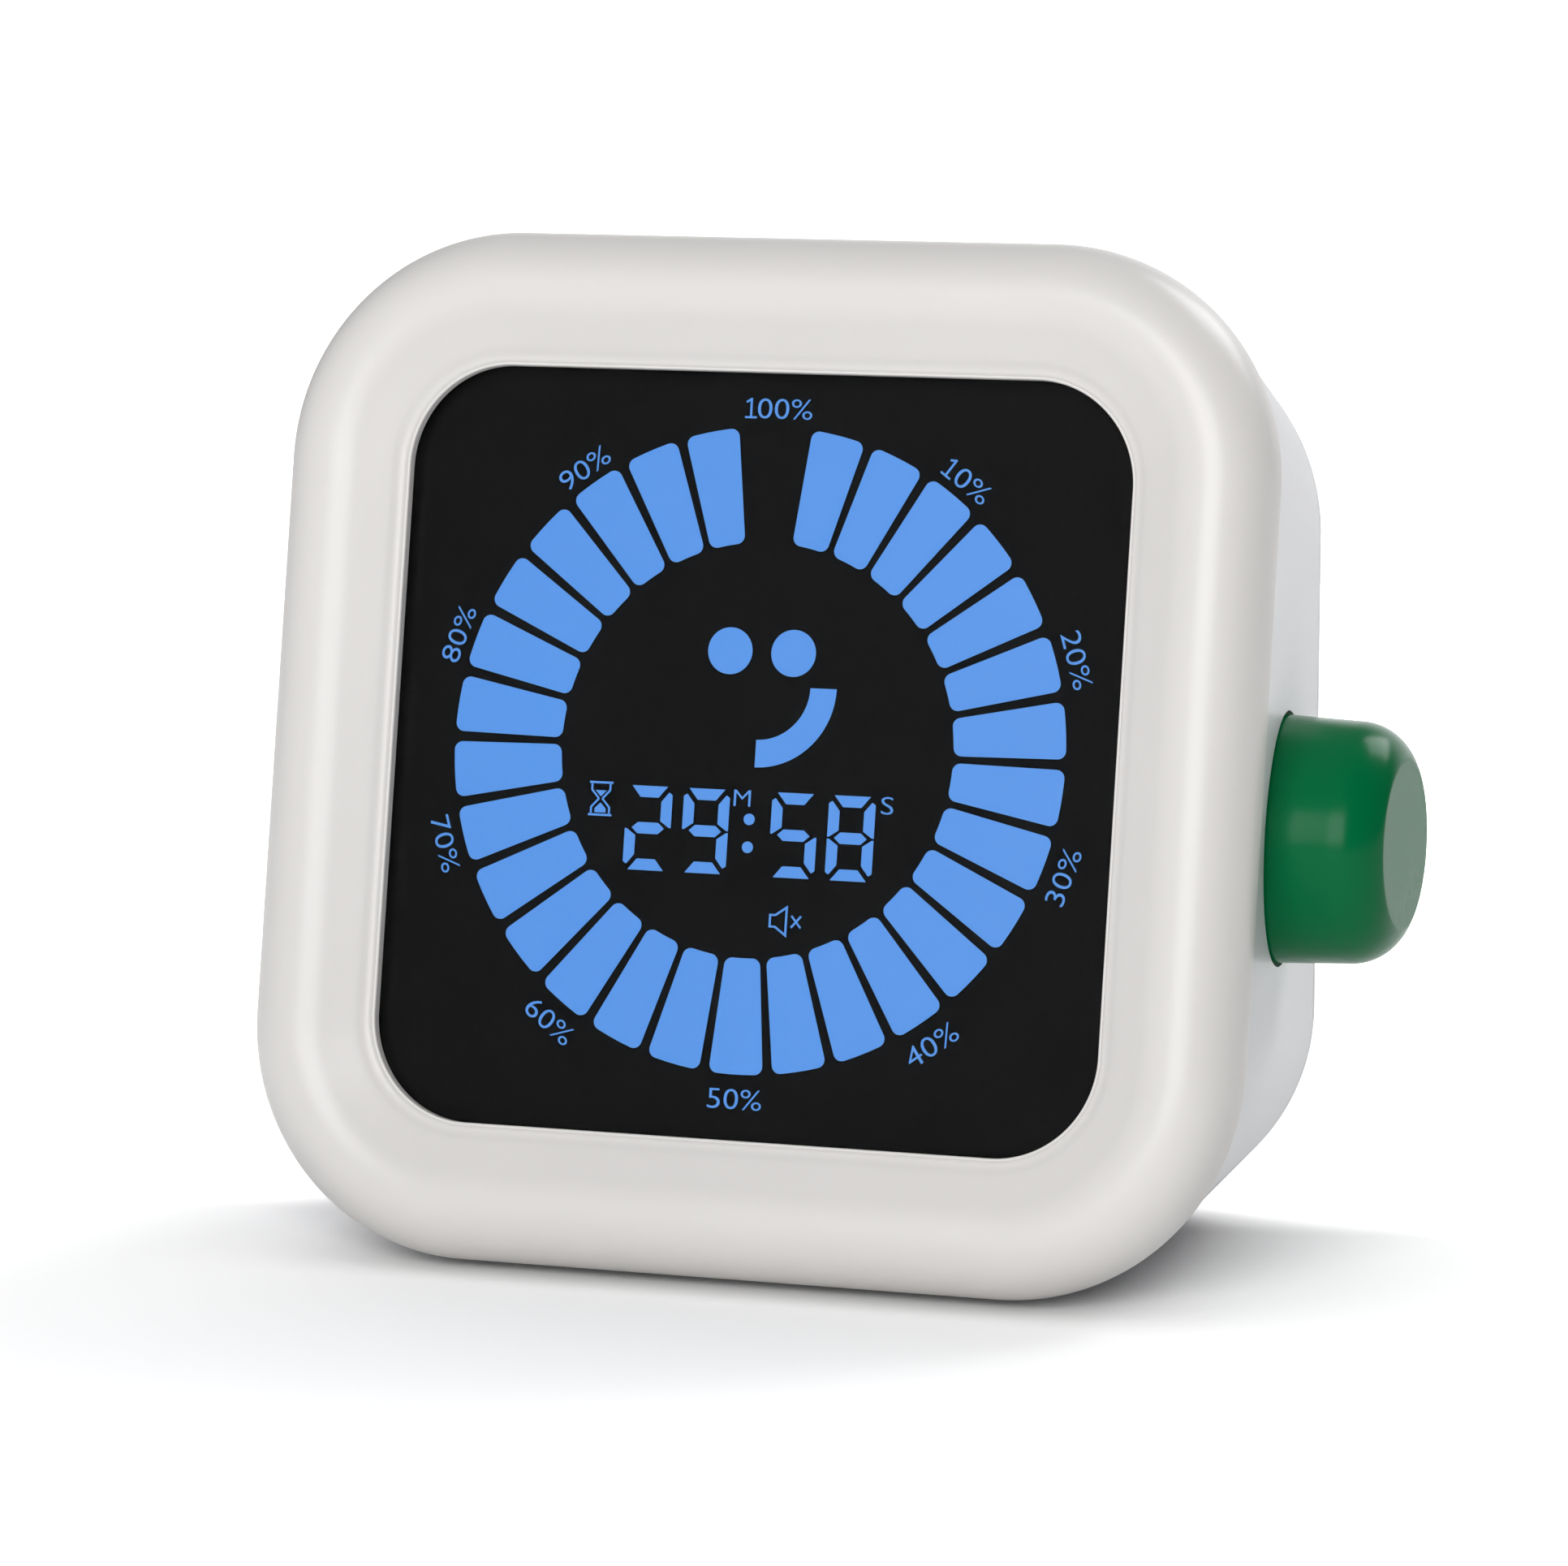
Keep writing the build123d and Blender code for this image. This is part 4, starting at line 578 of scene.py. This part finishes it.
def percent_labels():
    """Every tenth part of the ring, set round it; the lower ones turn their feet outwards.

    A leading 1 is drawn as a stem with a flag and a foot, left of the other signs.
    """
    parts = []
    for step in range(10):
        around = math.radians(36 * step)
        turn = -36 * step if step in (0, 1, 2, 8, 9) else 180 - 36 * step
        centre = label_middle + label_radius * np.array([math.sin(around), math.cos(around)])
        along = np.array([math.cos(math.radians(turn)), math.sin(math.radians(turn))])
        rise = np.array([-along[1], along[0]])
        if step > 1:
            parts.append(lettering(f"{step}0%", label_height, centre, turn, label_weight, label_wide))
            continue
        rest, stem = ("0%", one_before_two) if step else ("00%", one_before_three)
        beside = centre + rest_shift * along
        parts.append(lettering(rest, label_height, beside, turn, label_weight, label_wide))
        top, foot = label_height / 2, -label_height / 2
        base = foot + one_edge
        for stroke in (
            [(stem, foot), (stem, top)],
            [(stem - one_serif, base), (stem + one_serif, base)],
            [(stem - one_flag[0], top - one_flag[1]), (stem, top - one_edge)],
        ):
            parts.append(line([centre + px * along + py * rise for px, py in stroke], label_stroke))
    return mesh_piece("percent_labels", parts)


def placed(points, place):
    """Points given about a sign's middle, moved to its place."""
    return [(place[0] + x, place[1] + y) for x, y in points]


def hourglass():
    """Two end plates, the glass as one line down each side, and the sand as two small plates."""
    at = hourglass_place
    half = hourglass_half
    parts = []
    for level in (1.4, -1.4):
        parts.append(line(placed([(-1.07, level), (1.07, level)], at), hourglass_cap))
    glass = [(-half, 1.27), (-half, 0.75), (-0.2, 0.05), (-0.2, -0.05), (-half, -0.75), (-half, -1.27)]
    parts.append(line(placed(glass, at), hourglass_line))
    parts.append(line(placed([(-x, y) for x, y in glass[::-1]], at), hourglass_line))
    parts.append(plate(placed([(-0.5, -1.2), (0.5, -1.2), (0.5, -0.85), (0, -0.35), (-0.5, -0.85)], at)))
    parts.append(plate(placed([(-0.5, 0.72), (0, 0.2), (0.5, 0.72)], at)))
    return parts


def muted_speaker():
    """A loudspeaker's outline with a small cross beside it."""
    at = speaker_place
    horn = [(-0.72, 0.5), (-0.25, 0.5), (0.75, 1.2), (0.75, -1.2), (-0.25, -0.5), (-0.72, -0.5)]
    parts = [line(placed(horn, at), speaker_line, True)]
    for side in (-1, 1):
        parts.append(line(placed([(1.22, -side * 0.5), (2.08, side * 0.5)], at), cross_line))
    return parts


def display_icons():
    """Minute and second letters, an hourglass and a muted loudspeaker, as thin plates on the display."""
    parts = []
    for text, height, place, wide in (minute_sign, second_sign):
        parts.append(lettering(text, height, place, 0.0, letter_weight, wide))
    parts += hourglass() + muted_speaker()
    return mesh_piece("display_icons", parts)


# ================================================================ stage, light and camera
def stage_floor():
    """A wide flat paper floor; the camera and mirror-like surfaces see it lifted to white.

    The lift is the paper's colour raised past white and darkened by painted shade, from ambient occlusion,
    where the object shuts out the sky. For the camera alone a glow is added behind the object and far away,
    so that the floor runs into the white backdrop; behind the object the same painted shade holds the glow
    back.
    """
    reach = 15000.0
    thick = 50.0
    corners = np.array([[-reach, -reach, 0], [reach, -reach, 0], [reach, reach, 0], [-reach, reach, 0]])
    under = corners - [0, 0, thick]
    faces = [(0, 1, 2, 3), (7, 6, 5, 4), (0, 4, 5, 1), (1, 5, 6, 2), (2, 6, 7, 3), (3, 7, 4, 0)]
    floor = mesh_piece("studio_floor", [(np.concatenate([corners, under]), faces)])
    material, tree, output, place = new_material("paper_white_matt")
    paper = add_node(tree, "ShaderNodeBsdfDiffuse", None, {"Color": linear("#EDEDED"), "Roughness": 0.5})
    # ambient occlusion paints shade into the paper's colour near the object: a painted contact shadow, seen
    # by the camera and by glossy rays
    open_view = add_node(
        tree, "ShaderNodeAmbientOcclusion", {"samples": 16}, {"Distance": floor_shade_reach * mm})
    painted_shade = add_node(
        tree, "ShaderNodeMapRange", None,
        {"Value": open_view.outputs["AO"], "To Min": floor_painted_shade, "To Max": floor_lift},
    )
    grey = add_node(
        tree, "ShaderNodeCombineColor", None,
        {"Red": painted_shade.outputs["Result"], "Green": painted_shade.outputs["Result"], "Blue": painted_shade.outputs["Result"]},
    )
    lifted = add_node(tree, "ShaderNodeBsdfDiffuse", None, {"Color": grey.outputs["Color"], "Roughness": 0.5})
    away = add_node(tree, "ShaderNodeVectorMath", {"operation": "LENGTH"}, {0: place})
    far = add_node(
        tree, "ShaderNodeMapRange", {"interpolation_type": "SMOOTHSTEP"},
        {"Value": away.outputs["Value"], "From Min": far_start, "From Max": far_full},
    )
    depth = add_node(
        tree, "ShaderNodeVectorMath", {"operation": "DOT_PRODUCT"}, {0: place, 1: glow_heading})
    edge = add_node(
        tree, "ShaderNodeMapRange", {"interpolation_type": "SMOOTHSTEP"},
        {"Value": depth.outputs["Value"], "From Min": glow_start * mm, "From Max": glow_full * mm},
    )
    # the glow behind the object is scaled by the same occlusion, so the painted shadow stays where the object
    # meets the paper
    behind = add_node(
        tree, "ShaderNodeMath", {"operation": "MULTIPLY"},
        {0: edge.outputs["Result"], 1: open_view.outputs["AO"]})
    path = add_node(tree, "ShaderNodeLightPath")
    strength = add_node(
        tree, "ShaderNodeMath", {"operation": "MAXIMUM"},
        {0: far.outputs["Result"], 1: behind.outputs["Value"]},
    )
    camera_only = add_node(
        tree, "ShaderNodeMath", {"operation": "MULTIPLY"},
        {0: strength.outputs["Value"], 1: path.outputs["Is Camera Ray"]},
    )
    glow = add_node(
        tree, "ShaderNodeEmission", None,
        {"Color": linear("#FFFFFF"), "Strength": camera_only.outputs["Value"]})
    both = add_node(tree, "ShaderNodeAddShader")
    tree.links.new(lifted.outputs["BSDF"], both.inputs[0])
    tree.links.new(glow.outputs["Emission"], both.inputs[1])
    seen = add_node(
        tree, "ShaderNodeMath", {"operation": "MAXIMUM"},
        {0: path.outputs["Is Camera Ray"], 1: path.outputs["Is Glossy Ray"]},
    )
    choose = add_node(tree, "ShaderNodeMixShader", None, {"Fac": seen.outputs["Value"]})
    tree.links.new(paper.outputs["BSDF"], choose.inputs[1])
    tree.links.new(both.outputs["Shader"], choose.inputs[2])
    tree.links.new(choose.outputs["Shader"], output.inputs["Surface"])
    floor.data.materials.append(material)


def soft_lamp(name, target, place, width, height, power):
    """A rectangular softbox at place, turned to target, in metres and watts."""
    data = bpy.data.lights.new(name, "AREA")
    data.shape = "RECTANGLE"
    data.size = width
    data.size_y = height
    data.energy = power
    lamp = bpy.data.objects.new(name, data)
    lamp.location = place
    aim = Vector(target) - Vector(place)
    lamp.rotation_euler = aim.to_track_quat("-Z", "Y").to_euler()
    scene.collection.objects.link(lamp)
    return lamp


def studio_light():
    """A white backdrop and a pale room with a black flag; a big softbox in front, a smaller one behind."""
    world = bpy.data.worlds.new("studio_room")
    scene.world = world
    world.use_nodes = True
    tree = world.node_tree
    tree.nodes.clear()
    output = add_node(tree, "ShaderNodeOutputWorld")
    direction = add_node(tree, "ShaderNodeTexCoord")
    parts = add_node(tree, "ShaderNodeSeparateXYZ", None, {"Vector": direction.outputs["Generated"]})
    backdrop = add_node(
        tree, "ShaderNodeMapRange", {"interpolation_type": "SMOOTHSTEP"},
        {"Value": parts.outputs["Y"], "From Min": 0.72, "From Max": 0.96,
         "To Min": 0.0, "To Max": backdrop_level},
    )
    walls = add_node(
        tree, "ShaderNodeMapRange", {"interpolation_type": "SMOOTHSTEP"},
        {"Value": parts.outputs["X"], "From Min": 0.0, "From Max": 0.6,
         "To Min": room_level, "To Max": flag_level},
    )
    level = add_node(
        tree, "ShaderNodeMath", {"operation": "MAXIMUM"},
        {0: backdrop.outputs["Result"], 1: walls.outputs["Result"]},
    )
    path = add_node(tree, "ShaderNodeLightPath")
    room = add_node(
        tree, "ShaderNodeBackground", None, {"Color": linear("#FAFBFD"), "Strength": level.outputs["Value"]})
    white = add_node(tree, "ShaderNodeBackground", None, {"Color": linear("#FFFFFF"), "Strength": 1.0})
    choose = add_node(tree, "ShaderNodeMixShader", None, {"Fac": path.outputs["Is Camera Ray"]})
    tree.links.new(room.outputs["Background"], choose.inputs[1])
    tree.links.new(white.outputs["Background"], choose.inputs[2])
    tree.links.new(choose.outputs["Shader"], output.inputs["Surface"])
    middle = (0, 0, 0.045)
    soft_lamp("softbox_front", middle, *softbox_front)
    soft_lamp("softbox_rim", middle, *softbox_rim)


def place_camera():
    """The camera by its azimuth, elevation and distance from the middle of the display's ring."""
    azimuth = math.radians(camera_azimuth)
    elevation = math.radians(camera_elevation)
    target = Vector(camera_target) * mm
    right = Vector((math.cos(azimuth), math.sin(azimuth), 0))
    lean = math.sin(elevation)
    up = Vector((-math.sin(azimuth) * lean, math.cos(azimuth) * lean, math.cos(elevation)))
    back = right.cross(up)
    data = bpy.data.cameras.new("camera")
    data.sensor_width = camera_sensor
    data.sensor_fit = "HORIZONTAL"
    data.lens = camera_lens
    camera = bpy.data.objects.new("camera", data)
    turn = Matrix((right, up, back)).transposed().to_4x4()
    turn.translation = target + (camera_aside * right - camera_down * up + camera_back * back) * mm
    camera.matrix_world = turn
    scene.collection.objects.link(camera)
    scene.camera = camera


# ================================================================ putting it together
place_camera()
studio_light()
stage_floor()
materials = make_materials()
slot_of = {part["node"]: part["material_slot"] for part in frame["record"]["subparts"]}

for name, piece in frame["nodes"].items():
    piece.data.materials.clear()
    piece.data.materials.append(materials[slot_of[name]])


def dress(piece, body, slot, *nodes):
    """Gives a new piece its body, its finish and the solids it stands for."""
    piece.data.materials.append(materials[slot])
    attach(piece, body)
    if nodes:
        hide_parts(*nodes)


dress(front_frame(), "case", "white_gloss", "front_frame")
dress(knob_piece(), "knob", "green_plastic", "knob")
dress(percent_labels(), "case", "blue_display")
dress(display_icons(), "case", "blue_display")

scene.view_settings.view_transform = "Standard"
